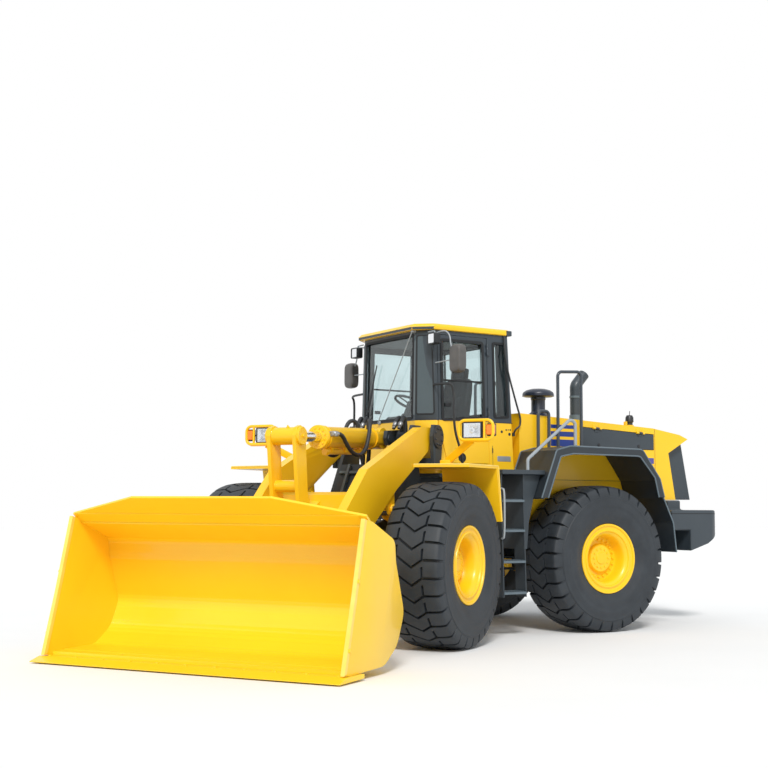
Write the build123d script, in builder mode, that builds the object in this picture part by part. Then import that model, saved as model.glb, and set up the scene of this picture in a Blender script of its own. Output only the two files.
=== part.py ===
from build123d import *
from math import atan2, cos, hypot, pi, radians, sin
import os

# Wheel loader, hinged in the middle. Units are millimetres.
# X points forward along the rear frame, Y to the left, Z up. The origin lies on the floor below the hinge.
# The front frame is modelled straight ahead and turned by steer_angle about the hinge when it is written.

# Running gear
wheelbase = 3450
tread = 2300
axle_height = 840
steer_angle = 31.3
front_axle_x = wheelbase / 2
rear_axle_x = -wheelbase / 2
wheel_y = tread / 2

tyre_radius = axle_height
tyre_width = 670
tread_width = 600
rim_radius = 320
rim_flange_radius = 395
rim_half_width = 290
rim_wall = 14
rim_flange = 15
dish_radius = 258
dish_depth = 190
hub_radius = 105
hub_height = 40
hub_plate = 60

# Clearances
seat_gap = 0.3
pin_gap = 0.4
running_gap = 6

# Hinge between the frames
lug_radius = 170
lug_plate = 60
hinge_pin_radius = 70
upper_lug_z = 1150
lower_lug_z = 640
fork_plate = 40

# Frames
frame_plate = 40
rail_y = 440
rail_top_z = 1150
rail_bottom_z = 680
rail_rear_x = -3420
rail_front_x = -1100
nose_y = 285
nose_front_x = -500
axle_pad = 160
front_plate_y = 400
front_web_x = 270
front_frame_end_x = 2250
front_frame_bottom_z = 560

# Working arm
boom_pivot = (770, 2200)
bucket_pivot = (3290, 400)
crank_pivot = (2764, 1200)
crank_top = (2950, 2110)
crank_foot = (2900, 516)
link_head = (3450, 760)
lift_base = (330, 950)
lift_eye = (1750, 1400)
tilt_base = (1000, 2180)
boom_y = 480
boom_plate = 100
boom_boss_radius = 105
boom_pin_radius = 60
bucket_pin_radius = 50
tower_ear = 40

# Lift cylinders' forks and the arm's pins
lift_y = 485
lift_pin_radius = 35
lift_eye_radius = 70
lift_eye_width = 104
lift_fork_y = lift_eye_width / 2 + seat_gap
lift_barrel_radius = 80
lift_barrel_wall = 15
steer_barrel_radius = 55
steer_barrel_wall = 10
fork_ear = 26
crank_pin_radius = 45
link_pin_radius = 40
tower_tube_radius = 75
tilt_eye_width = 160
tilt_pin_radius = 45
tilt_barrel_radius = 110
tilt_barrel_wall = 20
gland_lip = 10
tilt_ear_y = tilt_barrel_radius + 10
crank_y = tilt_barrel_radius + gland_lip + running_gap
crank_plate = 40
lift_fork = [(1690, 1590), (1680, 1400), (1700, 1350), (1750, 1328), (1800, 1350), (1830, 1400), (1880, 1500)]

# Bucket
bucket_half_width = 1570
bucket_plate = 32
guard_thickness = 22
edge_half_width = 1600
edge_tip_x = 4727
edge_thickness = 38
edge_clear = 12

# Cab
cab_floor_z = 1855
cab_sill_z = 2400
cab_top_z = 3430
cab_wall = 50
roof_thickness = 75
glass_thickness = 8
glass_inset = 20
door_rear_x = -500
door_front_x = 200
door_gap = 6

# Hood and rear end
hood_half_width = 800
hood_wall = 25
hood_bottom_z = 1160
counterweight_half_width = 1050
counterweight_depth = 510
counterweight_rear_x = rail_rear_x - counterweight_depth
fender_inner_y = 830
fender_outer_y = 1470
fender_plate = 30

os.makedirs("parts", exist_ok=True)


def steered(piece):
    """Turn a piece of the straight front frame about the hinge."""
    return piece.rotate(Axis.Z, steer_angle)


def block(x_low, x_high, y_low, y_high, z_low, z_high, mode=Mode.ADD):
    """A box between two corners."""
    with Locations(((x_low + x_high) / 2, (y_low + y_high) / 2, (z_low + z_high) / 2)):
        Box(x_high - x_low, y_high - y_low, z_high - z_low, mode=mode)


def side_plate(points, y_low, y_high, mode=Mode.ADD):
    """A plate that stands along X: its outline in X and Z, between two values of Y."""
    with BuildSketch(Plane.XZ.offset(-y_high)) as outline:
        with BuildLine():
            Polyline(*points, close=True)
        make_face()
    extrude(outline.sketch, amount=y_high - y_low, mode=mode)


def rounded_plate(rows, y_low, y_high, mode=Mode.ADD):
    """A plate that stands along X; each row of its outline holds X, Z and the radius of that corner."""
    with BuildSketch(Plane.XZ.offset(-y_high)) as outline:
        with BuildLine():
            Polyline(*[(x, z) for x, z, radius in rows], close=True)
        make_face()
        for x, z, radius in rows:
            if radius:
                corner = outline.vertices().sort_by_distance((x, z, 0))[0]
                fillet(corner, radius)
    extrude(outline.sketch, amount=y_high - y_low, mode=mode)


def floor_plate(points, z_low, z_high, mode=Mode.ADD):
    """A level plate: its outline in X and Y, between two heights."""
    with BuildSketch(Plane.XY.offset(z_low)) as outline:
        with BuildLine():
            Polyline(*points, close=True)
        make_face()
    extrude(outline.sketch, amount=z_high - z_low, mode=mode)


def cross_pin(centre, radius, y_low, y_high, mode=Mode.ADD):
    """A round pin, boss or bore across the machine, with its centre in X and Z."""
    with BuildSketch(Plane((centre[0], y_high, centre[1]), x_dir=(1, 0, 0), z_dir=(0, -1, 0))) as disc:
        Circle(radius)
    extrude(disc.sketch, amount=y_high - y_low, mode=mode)


def upright_pin(x, y, radius, z_low, z_high, mode=Mode.ADD):
    """A round pin, boss or bore that stands upright."""
    with BuildSketch(Plane((x, y, z_low))) as disc:
        Circle(radius)
    extrude(disc.sketch, amount=z_high - z_low, mode=mode)


def bar(start, end, radius, mode=Mode.ADD):
    """A round bar from one point to another."""
    direction = Vector(*end) - Vector(*start)
    with BuildSketch(Plane(Vector(*start), z_dir=direction)) as disc:
        Circle(radius)
    extrude(disc.sketch, amount=direction.length, mode=mode)


def bent_tube(points, bend, radius):
    """A round tube along straight runs, with a bend of one radius at each corner."""
    with BuildLine() as path:
        FilletPolyline(*points, radius=bend)
    with BuildSketch(Plane(path.line @ 0, z_dir=path.line % 0)) as section:
        Circle(radius)
    sweep(section.sketch, path=path.line)


def span(side, y_near, y_far):
    """The two Y values of a piece on one side, lowest first."""
    return min(side * y_near, side * y_far), max(side * y_near, side * y_far)


# Door hinges: a round eye that lies on the outer face, with a flat leaf on the piece that it belongs to
hinge_radius = 14
hinge_bore = 7
hinge_leaf = 6
hinge_reach = 45
hinge_length = 60


def hinge_eye(line, start, length, reach, bore):
    """One eye along the normal of a plane, with its leaf towards the plane's own X; the face lies one radius below."""
    with BuildSketch(line.offset(start)) as ring:
        Circle(hinge_radius)
        with Locations((reach / 2, (hinge_leaf - hinge_radius * 2) / 2)):
            Rectangle(abs(reach), hinge_leaf)
        if bore:
            Circle(bore, mode=Mode.SUBTRACT)
    extrude(ring.sketch, amount=length)


def hinge_line(point, into_door, outward):
    """Plane at a hinge whose normal is the pin, about which a positive turn opens the door."""
    return Plane(point + outward * hinge_radius, x_dir=into_door, z_dir=into_door.cross(outward))


def moving_half(line):
    """The middle eye, on the door."""
    hinge_eye(line, -hinge_length / 2, hinge_length, hinge_reach, hinge_bore + seat_gap)


def fixed_half(line):
    """The two outer eyes and the pin through all three, on the piece that carries the door."""
    outer_length = 36
    for start in (-hinge_length / 2 - seat_gap - outer_length, hinge_length / 2 + seat_gap):
        hinge_eye(line, start, outer_length, -hinge_reach, 0)
    with BuildSketch(line.offset(-hinge_length / 2 - 1)) as pin:
        Circle(hinge_bore)
    extrude(pin.sketch, amount=hinge_length + 2)


# ---------------------------------------------------------------- wheels
# x of the axle, side (+1 left), whether it belongs to the steered front frame
wheel_table = {
    "front_left": (front_axle_x, 1, True),
    "front_right": (front_axle_x, -1, True),
    "rear_left": (rear_axle_x, 1, False),
    "rear_right": (rear_axle_x, -1, False),
}
bead_y = rim_half_width - rim_flange - seat_gap
bead_radius = rim_radius + seat_gap
side_y = tyre_width / 2
shoulder_y = tread_width / 2
hub_face = rim_half_width - dish_depth


# Tyres are solid rings of flat facets. Each ring of points has a distance from the wheel's middle, the radius of
# its lugs, the radius of its groove floors and the place of its grooves, as a share of a pitch.
tyre_pitches = 30
pitch_angle = 2 * pi / tyre_pitches
crown_y = 140
shoulder_radius = tyre_radius - 125
groove_depth = 36
shoulder_depth = 62
tread_rings = [
    (10 - side_y, shoulder_radius, shoulder_radius, -0.38),
    (5 - shoulder_y, tyre_radius - 4, tyre_radius - shoulder_depth, -0.38),
    (-crown_y, tyre_radius, tyre_radius - groove_depth, -0.33),
    (crown_y, tyre_radius, tyre_radius - groove_depth, 0.07),
    (shoulder_y - 5, tyre_radius - 4, tyre_radius - shoulder_depth, 0.12),
    (side_y - 10, shoulder_radius, shoulder_radius, 0.12),
]
# place in the pitch, share of the groove's depth
groove_points = [(0, 0), (0.12, 1), (0.26, 0)]
# distance from the middle, radius: widest ring, foot beside the rim's flange, bead on the rim
flange_clearance = 2
flank_rings = [(side_y, rim_flange_radius + 195),
               (bead_y, (rim_flange_radius + flange_clearance) / cos(pitch_angle / 2)),
               (bead_y, bead_radius / cos(pitch_angle / 2))]


def wheel_point(axle_x, side, y, radius, pitches):
    """The point at a radius and a number of pitches from the top, at y outwards from the wheel's middle."""
    angle = pitches * pitch_angle
    return Vector(axle_x + radius * sin(angle), side * (wheel_y + y), axle_height + radius * cos(angle))


def facet(side, *points):
    """A flat face whose corners turn the same way on both sides of the machine."""
    return Face(Wire.make_polygon(points if side > 0 else points[::-1]))


def tyre_facets(axle_x, side):
    """All faces of one tyre, ring by ring from its inner bead over the tread to its outer bead and back."""
    faces = []

    def ring(y, lugs, floor, shift):
        return [wheel_point(axle_x, side, y, lugs + (floor - lugs) * depth, row + place + shift)
                for row in range(tyre_pitches) for place, depth in groove_points]

    def flank(y, radius, shift):
        return [wheel_point(axle_x, side, y, radius, row + shift) for row in range(tyre_pitches)]

    treads = [ring(*row) for row in tread_rings]
    for near, far in zip(treads, treads[1:]):
        for i in range(len(near)):
            j = (i + 1) % len(near)
            faces += [facet(side, near[i], near[j], far[j]), facet(side, near[i], far[j], far[i])]
    # the flanks hang from the outermost rings of the tread
    shift_in, shift_out = tread_rings[0][3], tread_rings[-1][3]
    inner = [flank(-y, radius, shift_in) for y, radius in flank_rings]
    outer = [flank(y, radius, shift_in) for y, radius in flank_rings]
    outer[0] = flank(*flank_rings[0], shift_out)
    steps = len(groove_points)
    for i in range(tyre_pitches):
        j = (i + 1) % tyre_pitches
        for edge, foot, way in ((treads[0], inner[0], -side), (treads[-1], outer[0], side)):
            a, b, c, d = (edge[(i * steps + k) % len(edge)] for k in range(steps + 1))
            faces += [facet(-way, a, b, foot[i]), facet(-way, b, c, foot[i]), facet(-way, c, d, foot[j]),
                      facet(-way, c, foot[j], foot[i])]
        faces += [facet(side, inner[1][i], inner[1][j], inner[0][j], inner[0][i]),
                  facet(side, inner[2][i], inner[2][j], inner[1][j], inner[1][i]),
                  facet(side, outer[0][i], outer[0][j], outer[1][j]), facet(side, outer[0][i], outer[1][j], outer[1][i]),
                  facet(side, outer[1][i], outer[1][j], outer[2][j], outer[2][i]),
                  facet(side, outer[2][i], outer[2][j], inner[2][j], inner[2][i])]
    return faces


for name, (axle_x, side, is_front) in wheel_table.items():
    axle_line = Axis((axle_x, 0, axle_height), (0, 1, 0))
    section_plane = Plane((axle_x, 0, axle_height), x_dir=(0, 0, 1), z_dir=(-1, 0, 0))

    with BuildPart() as tyre:
        add(Solid(Shell(tyre_facets(axle_x, side))))

    with BuildPart() as rim:
        with BuildSketch(section_plane):
            with BuildLine():
                outline = [
                    (0, hub_face - hub_plate), (0, hub_face + hub_height), (hub_radius, hub_face + hub_height),
                    (hub_radius + 15, hub_face), (dish_radius - 8, hub_face), (dish_radius, rim_half_width - 30),
                    (dish_radius + 30, rim_half_width - 10), (rim_flange_radius - 23, rim_half_width),
                    (rim_flange_radius, rim_half_width), (rim_flange_radius, rim_half_width - rim_flange),
                    (rim_radius, rim_half_width - rim_flange), (rim_radius, rim_flange - rim_half_width),
                    (rim_flange_radius, rim_flange - rim_half_width), (rim_flange_radius, -rim_half_width),
                    (rim_radius - rim_wall, -rim_half_width),
                    (rim_radius - rim_wall, rim_half_width - 58), (dish_radius + rim_wall, rim_half_width - 70),
                    (dish_radius + rim_wall, hub_face - hub_plate),
                ]
                Polyline(*[(r, side * (wheel_y + u)) for r, u in outline], close=True)
            make_face()
        revolve(axis=axle_line)

    if is_front:
        tyre.part = steered(tyre.part)
        rim.part = steered(rim.part)
    tyre.part.label = f"tyre_{name}"
    export_step(tyre.part, f"parts/tyre_{name}.step")
    rim.part.label = f"rim_{name}"
    export_step(rim.part, f"parts/rim_{name}.step")

# ---------------------------------------------------------------- axles
# distance from the middle, radius of the housing there
axle_profile = [(0, 250), (200, 235), (330, 135), (850, 130), (880, 205),
                (wheel_y + hub_face - hub_plate - seat_gap, 205)]
axle_nose = 430
axle_nose_radius = 120


def axle_housing(axle_x, nose_direction):
    """Differential, tubes and wheel hubs in one turned housing, with pads that carry the frame."""
    with BuildSketch(Plane((axle_x, 0, axle_height), x_dir=(0, 0, 1), z_dir=(-1, 0, 0))) as section:
        with BuildLine():
            right = [(radius, -y) for y, radius in reversed(axle_profile)]
            left = [(radius, y) for y, radius in axle_profile]
            Polyline((0, -axle_profile[-1][0]), *right[:-1], *left, (0, axle_profile[-1][0]), close=True)
        make_face()
    revolve(section.sketch, axis=Axis((axle_x, 0, axle_height), (0, 1, 0)))
    bar((axle_x, 0, axle_height), (axle_x + nose_direction * axle_nose, 0, axle_height), axle_nose_radius)
    pad_top = axle_height + axle_pad
    for side in (1, -1):
        low, high = span(side, front_plate_y - 60, rail_y + 20)
        block(axle_x - axle_pad, axle_x + axle_pad, low, high, axle_height - 40, pad_top)


with BuildPart() as front_axle:
    axle_housing(front_axle_x, -1)
front_axle.part = steered(front_axle.part)
front_axle.part.label = "front_axle"
export_step(front_axle.part, "parts/front_axle.step")

with BuildPart() as rear_axle:
    axle_housing(rear_axle_x, 1)
rear_axle.part.label = "rear_axle"
export_step(rear_axle.part, "parts/rear_axle.step")

# ---------------------------------------------------------------- rear frame
notch_z = axle_height + axle_pad
steer_base = (-1000, 450, 770)
steer_eye = (150, 360, 770)
steer_lug_plate = 25
steer_pin_radius = 28
steer_pin_reach = 80
lug_back_x = nose_front_x + frame_plate
post_table = [(-850, 1200), (-600, 1200)]
beam_low_z = 1640
beam_high_z = 1760

with BuildPart() as rear_frame:
    rail = [(rail_rear_x, rail_bottom_z + 120), (rail_rear_x, rail_top_z), (rail_front_x, rail_top_z),
            (rail_front_x, rail_bottom_z), (rear_axle_x + 420, rail_bottom_z), (rear_axle_x + 260, notch_z),
            (rear_axle_x - 260, notch_z), (rear_axle_x - 420, rail_bottom_z), (-3000, rail_bottom_z)]
    nose = [(rail_front_x, 600), (rail_front_x, rail_top_z), (-915, rail_top_z), (-915, 1260), (nose_front_x, 1260),
            (nose_front_x, 600)]
    for side in (1, -1):
        side_plate(rail, *span(side, rail_y - frame_plate, rail_y))
        side_plate(nose, *span(side, nose_y - frame_plate, nose_y))
        # brackets that hold the steering cylinders' pins
        for z in (steer_base[2] - steer_pin_reach, steer_base[2] + steer_pin_reach - steer_lug_plate):
            low, high = span(side, nose_y - 20, steer_base[1] + 50)
            block(rail_front_x, steer_base[0] + 60, low, high, z, z + steer_lug_plate)
        # posts and beams that carry the cab
        for post_x, foot_z in post_table:
            low, high = span(side, nose_y - 30, nose_y + 70)
            block(post_x - 50, post_x + 50, low, high, foot_z, beam_high_z)
        low, high = span(side, nose_y - 30, nose_y + 70)
        block(-900, 160, low, high, beam_low_z, beam_high_z)
    # cross members: rear end, shoulder where the rails step inwards, front bulkhead, cab beams
    for x, half_width, z_low, z_high in [(rail_rear_x, rail_y, rail_bottom_z + 120, rail_top_z),
                                         (rail_front_x - frame_plate, rail_y, 680, rail_top_z),
                                         (nose_front_x, nose_y, 600, 1260)]:
        block(x, x + frame_plate, -half_width, half_width, z_low, z_high)
    for x in (-850, -600, 80):
        block(x - 50, x + 50, -nose_y, nose_y, beam_low_z, beam_high_z)
    # hinge lugs, a wedge that ends in a round eye
    for z in (lower_lug_z - lug_plate / 2, upper_lug_z - lug_plate / 2):
        wedge = [(lug_back_x, -nose_y), (lug_back_x, nose_y), (-60, lug_radius - 14), (-60, 14 - lug_radius)]
        floor_plate(wedge, z, z + lug_plate)
        upright_pin(0, 0, lug_radius, z, z + lug_plate)
        upright_pin(0, 0, hinge_pin_radius + pin_gap, z, z + lug_plate, mode=Mode.SUBTRACT)
    for side in (1, -1):
        upright_pin(steer_base[0], side * steer_base[1], steer_pin_radius,
                    steer_base[2] - steer_pin_reach, steer_base[2] + steer_pin_reach)
rear_frame.part.label = "rear_frame"
export_step(rear_frame.part, "parts/rear_frame.step")

with BuildPart() as engine_block:
    block(-3050, -1800, -rail_y, rail_y, rail_top_z, 1700)
    block(-2950, -1900, -300, 300, 1700, 2150)
engine_block.part.label = "engine_block"
export_step(engine_block.part, "parts/engine_block.step")

# ---------------------------------------------------------------- counterweight and hitch
weight_top_z = 1400
with BuildPart() as counterweight:
    weight_front_x = rail_rear_x + 320
    outline = [(weight_front_x, weight_top_z), (counterweight_rear_x, weight_top_z), (counterweight_rear_x, 1100),
               (counterweight_rear_x + 200, 980), (rail_rear_x - seat_gap, 890),
               (rail_rear_x - seat_gap, rail_top_z + seat_gap), (weight_front_x, rail_top_z + seat_gap)]
    side_plate(outline, -counterweight_half_width, counterweight_half_width)
    rear_corners = counterweight.edges().filter_by(Axis.Z).sort_by(Axis.X)[:2]
    fillet(rear_corners, 150)
    block(rail_rear_x + 20, rail_rear_x + 240, -900, 900, weight_top_z, weight_top_z + 120)
counterweight.part.label = "counterweight"
export_step(counterweight.part, "parts/counterweight.step")

hitch_pin = (rail_rear_x - 200, 0)
hitch_bore_radius = 26
hitch_plate = 40
hitch_gap = 110
hitch_z = 760
with BuildPart() as tow_hitch:
    block(rail_rear_x - 40, rail_rear_x, -150, 150, rail_bottom_z + 130, 885)
    for z in (hitch_z - hitch_gap / 2 - hitch_plate, hitch_z + hitch_gap / 2):
        block(hitch_pin[0], rail_rear_x, -90, 90, z, z + hitch_plate)
        upright_pin(*hitch_pin, 90, z, z + hitch_plate)
        upright_pin(*hitch_pin, hitch_bore_radius, z, z + hitch_plate, mode=Mode.SUBTRACT)
    block(rail_rear_x - 40, rail_rear_x, -150, 150, hitch_z - hitch_gap / 2 - hitch_plate, 885)
tow_hitch.part.label = "tow_hitch"
export_step(tow_hitch.part, "parts/tow_hitch.step")

# ---------------------------------------------------------------- hood, grille, side doors
hood_front_x = -930
hood_outline = [(hood_front_x, hood_bottom_z), (hood_front_x, 2525), (-3040, 2420), (-3500, 2352), (-3640, 2300),
                (-3300, 2115), (-3410, weight_top_z + 125), (-3130, weight_top_z + 125), (-3090, weight_top_z),
                (-3090, hood_bottom_z)]
hood_door = [(-1880, 2144), (-1880, 2400), (-3056, 2345), (-3056, 2144)]


def hood_door_hinges(side):
    """The hinges on the top edge of a hood door."""
    front, back = (Vector(x, side * hood_half_width, z - door_gap / 2) for x, z in hood_door[1:3])
    along_edge = (front - back).normalized() * side
    outward = Vector(0, side, 0)
    for part_way in (0.2, 0.8):
        yield hinge_line(front + (back - front) * part_way, outward.cross(along_edge), outward)


def hood_prism():
    """Cut away whatever would reach into the hood, up to its skin."""
    top = [(x, z) for x, z in hood_outline[1:4]]
    raised = [(x, z + seat_gap) for x, z in top]
    side_plate(raised + [(top[-1][0], 2000), (top[0][0], 2000)], -hood_half_width, hood_half_width,
               mode=Mode.SUBTRACT)


def shrink(points, amount):
    """The corners of an outline moved inwards by the same amount."""
    with BuildSketch(mode=Mode.PRIVATE) as small:
        with BuildLine():
            Polyline(*points, close=True)
        make_face()
        offset(amount=-amount, kind=Kind.INTERSECTION, mode=Mode.REPLACE)
    border = small.sketch.face().outer_wire().order_edges()
    return [((edge @ 0).X, (edge @ 0).Y) for edge in border]


with BuildPart() as hood:
    side_plate(hood_outline, -hood_half_width, hood_half_width)
    cavity = [(hood_front_x - hood_wall, hood_bottom_z - 1), (hood_front_x - hood_wall, 2525 - hood_wall),
              (-3040, 2420 - hood_wall), (-3500, 2352 - hood_wall), (-3300, 2180), (-3275, 2115), (-3385, 1540),
              (-3130, 1540), (-3090 + hood_wall, weight_top_z), (-3090 + hood_wall, hood_bottom_z - 1)]
    side_plate(cavity, hood_wall - hood_half_width, hood_half_width - hood_wall, mode=Mode.SUBTRACT)
    for side in (1, -1):
        side_plate(hood_door, *span(side, hood_half_width - hood_wall - 5, hood_half_width + 5), mode=Mode.SUBTRACT)
        for line in hood_door_hinges(side):
            fixed_half(line)
hood.part.label = "hood"
export_step(hood.part, "parts/hood.step")

for name, side in (("left", 1), ("right", -1)):
    with BuildPart() as hood_side_door:
        low, high = span(side, hood_half_width - hood_wall, hood_half_width)
        side_plate(shrink(hood_door, door_gap), low, high)
        for line in hood_door_hinges(side):
            moving_half(line)
    hood_side_door.part.label = f"hood_door_{name}"
    export_step(hood_side_door.part, f"parts/hood_door_{name}.step")

with BuildPart() as rear_grille:
    frame = [(-3300.6, 2114.9), (-3600, 2277.8), (-3612, 2255), (-3760, 1530), (-3409.6, 1530)]
    side_plate(frame, -700, 700)
    recess_depth = 60
    for row in range(9):
        z = 1600 + 68 * row
        slope = (z - 1530) / 725
        x_face = -3760 + 150 * slope
        block(x_face - 40, x_face + recess_depth, -640, 640, z, z + 34, mode=Mode.SUBTRACT)
rear_grille.part.label = "rear_grille"
export_step(rear_grille.part, "parts/rear_grille.step")

# ---------------------------------------------------------------- fenders, platforms, ladders
arch = [(-725, 1530), (-944, 2070), (-1150, 2120), (-2240, 2108), (-2515, 1765), (-2580, 1550)]
flap = [(-2580, 1550), (-2735, 1250), (-2780, 900)]
with BuildPart() as rear_fenders:
    for side in (1, -1):
        low, high = span(side, fender_inner_y - 30, fender_outer_y)
        band = arch + [(x + (fender_plate if x < -1700 else -fender_plate), z - 15)
                       if z < 2000 else (x + (10 if x < -1700 else -10), z - fender_plate)
                       for x, z in reversed(arch)]
        side_plate(band, low, high)
        skirt = arch + [(-2490, 1550), (-2430, 1780), (-2195, 2030), (-1190, 2035), (-1000, 2000), (-815, 1530)]
        low, high = span(side, fender_outer_y - 25, fender_outer_y)
        side_plate(skirt, low, high)
        low, high = span(side, fender_inner_y, fender_outer_y - 10)
        side_plate(flap + [(x + 20, z) for x, z in reversed(flap)], low, high)
rear_fenders.part.label = "rear_fenders"
export_step(rear_fenders.part, "parts/rear_fenders.step")

platform_z = 1840
platform_outer_y = 1400
platform_plate = 50
tank_top_z = platform_z - platform_plate - seat_gap
tank_outline = [(-560, tank_top_z), (-560, 960), (-625, 960), (-650, 1250), (-715, 1520), (-820, tank_top_z)]
ladder_x = (-560, -240)
# height of the tread, y of its outer edge
step_table = [(470, 1400), (810, 1390), (1150, 1380), (1480, 1370)]
tread_plate = 30
with BuildPart() as side_tanks:
    for side in (1, -1):
        low, high = span(side, 860, 1330)
        side_plate(tank_outline, low, high)
side_tanks.part.label = "side_tanks"
export_step(side_tanks.part, "parts/side_tanks.step")

with BuildPart() as platforms:
    deck = [(-930, 780), (180, 780), (330, 580)]
    floor_plate(deck + [(x, -y) for x, y in reversed(deck)], beam_high_z, beam_high_z + 40)
    for side in (1, -1):
        low, high = span(side, 780, platform_outer_y)
        block(-828, -230, low, high, platform_z - platform_plate, platform_z)
        low, high = span(side, 770, 830)
        block(-808, 150, low, high, beam_high_z, platform_z)
platforms.part.label = "platforms"
export_step(platforms.part, "parts/platforms.step")

with BuildPart() as ladders:
    for side in (1, -1):
        for x in (ladder_x[0] + seat_gap, ladder_x[1] - 14):
            with BuildSketch(Plane((x, 0, 0), x_dir=(0, 1, 0), z_dir=(1, 0, 0))) as stringer:
                with BuildLine():
                    top_z = platform_z - platform_plate - seat_gap
                    points = [(1180, top_z), (1180, 1300), (1220, 440), (1400, 440), (1360, 1500), (1360, top_z)]
                    Polyline(*[(side * y, z) for y, z in points], close=True)
                make_face()
            extrude(stringer.sketch, amount=14)
        for z, outer_y in step_table:
            low, high = span(side, outer_y - 200, outer_y)
            block(ladder_x[0] + 5, ladder_x[1] - 5, low, high, z, z + tread_plate)
ladders.part.label = "ladders"
export_step(ladders.part, "parts/ladders.step")

# ---------------------------------------------------------------- cab
# plan outlines: rear corner, door pillar corner, front corner (half, mirrored)
cab_plan_low = [(-850, 800), (212, 800), (398, 585)]
cab_plan_high = [(-800, 740), (245, 740), (370, 565)]


def cab_body(inset, z_low=cab_floor_z, z_high=cab_top_z):
    """The cab's tapered body, its walls moved in by inset."""
    sections = []
    for plan, z in ((cab_plan_low, cab_floor_z), (cab_plan_high, cab_top_z)):
        with BuildSketch(Plane.XY.offset(z)) as section:
            with BuildLine():
                Polyline(*plan, *[(x, -y) for x, y in reversed(plan)], close=True)
            make_face()
            if inset:
                offset(amount=-inset, kind=Kind.INTERSECTION, mode=Mode.REPLACE)
        sections.append(section.sketch)
    with BuildPart() as body:
        loft(sections, ruled=True)
        if z_low > cab_floor_z:
            split(bisect_by=Plane.XY.offset(z_low), keep=Keep.TOP)
        if z_high < cab_top_z:
            split(bisect_by=Plane.XY.offset(z_high), keep=Keep.BOTTOM)
    return body.part


# side windows and the door, in X and Z
door_outline = [(door_rear_x, cab_floor_z + 60), (door_rear_x, cab_top_z - 45), (door_front_x, cab_top_z - 45),
                (door_front_x, cab_sill_z - 60), (door_front_x - 110, cab_floor_z + 60)]
door_window = [(door_rear_x + 70, cab_sill_z + 50), (door_rear_x + 70, cab_top_z - 110),
               (door_front_x - 60, cab_top_z - 110), (door_front_x - 60, cab_sill_z + 10)]
rear_side_window = [(-780, cab_sill_z + 70), (-760, cab_top_z - 100), (door_rear_x - 90, cab_top_z - 100),
                    (door_rear_x - 90, cab_sill_z + 60)]
front_window = (520, cab_sill_z + 30, cab_top_z - 50)
rear_window = (560, cab_sill_z + 130, cab_top_z - 90)


cab_lean = (cab_plan_low[0][1] - cab_plan_high[0][1]) / (cab_top_z - cab_floor_z)
door_hinge_heights = (cab_sill_z + 100, cab_top_z - 190)


def cab_door_hinges(side):
    """The hinges on the rear edge of a cab door, on the leaning wall."""
    outward = Vector(0, side, cab_lean).normalized()
    for z in door_hinge_heights:
        y = cab_plan_low[0][1] - cab_lean * (z - cab_floor_z)
        yield hinge_line(Vector(door_rear_x + door_gap / 2, side * y, z), Vector(1, 0, 0), outward)


def window_prisms(margin=0):
    """Bodies that cut, or hold, the fixed panes."""
    half, low, high = front_window
    block(180, 500, margin - half, half - margin, low + margin, high - margin)
    half, low, high = rear_window
    block(-1000, -700, margin - half, half - margin, low + margin, high - margin)
    for side in (1, -1):
        outline = shrink(rear_side_window, margin) if margin else rear_side_window
        side_plate(outline, *span(side, 600, 900))


with BuildPart(mode=Mode.PRIVATE) as windows:
    window_prisms()
with BuildPart(mode=Mode.PRIVATE) as panes:
    window_prisms(seat_gap)
with BuildPart(mode=Mode.PRIVATE) as doorways:
    for side in (1, -1):
        side_plate(door_outline, *span(side, 500, 900))

with BuildPart() as cab_base:
    add(cab_body(0, z_high=cab_sill_z))
    add(cab_body(cab_wall, z_high=cab_sill_z), mode=Mode.SUBTRACT)
    add(doorways.part, mode=Mode.SUBTRACT)
    floor_plan = [(-800, 750), (215, 750), (340, 570), (340, -570), (215, -750), (-800, -750)]
    floor_plate(floor_plan, cab_floor_z - 55, cab_floor_z + 30)
cab_base.part.label = "cab_base"
export_step(cab_base.part, "parts/cab_base.step")

with BuildPart() as cab_frame:
    add(cab_body(0, z_low=cab_sill_z))
    add(cab_body(cab_wall, z_low=cab_sill_z), mode=Mode.SUBTRACT)
    add(doorways.part, mode=Mode.SUBTRACT)
    add(windows.part, mode=Mode.SUBTRACT)
    for side in (1, -1):
        for line in cab_door_hinges(side):
            fixed_half(line)
cab_frame.part.label = "cab_frame"
export_step(cab_frame.part, "parts/cab_frame.step")

with BuildPart() as cab_glass:
    add(cab_body(glass_inset))
    add(cab_body(glass_inset + glass_thickness), mode=Mode.SUBTRACT)
    add(panes.part, mode=Mode.INTERSECT)
cab_glass.part.label = "cab_glass"
export_step(cab_glass.part, "parts/cab_glass.step")

with BuildPart() as cab_roof:
    roof_plan = [(-840, 770), (250, 770), (440, 590), (440, -590), (250, -770), (-840, -770)]
    floor_plate(roof_plan, cab_top_z, cab_top_z + roof_thickness)
    rim_edges = cab_roof.edges().group_by(Axis.Z)[-1]
    chamfer(rim_edges, 30)
cab_roof.part.label = "cab_roof"
export_step(cab_roof.part, "parts/cab_roof.step")

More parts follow.
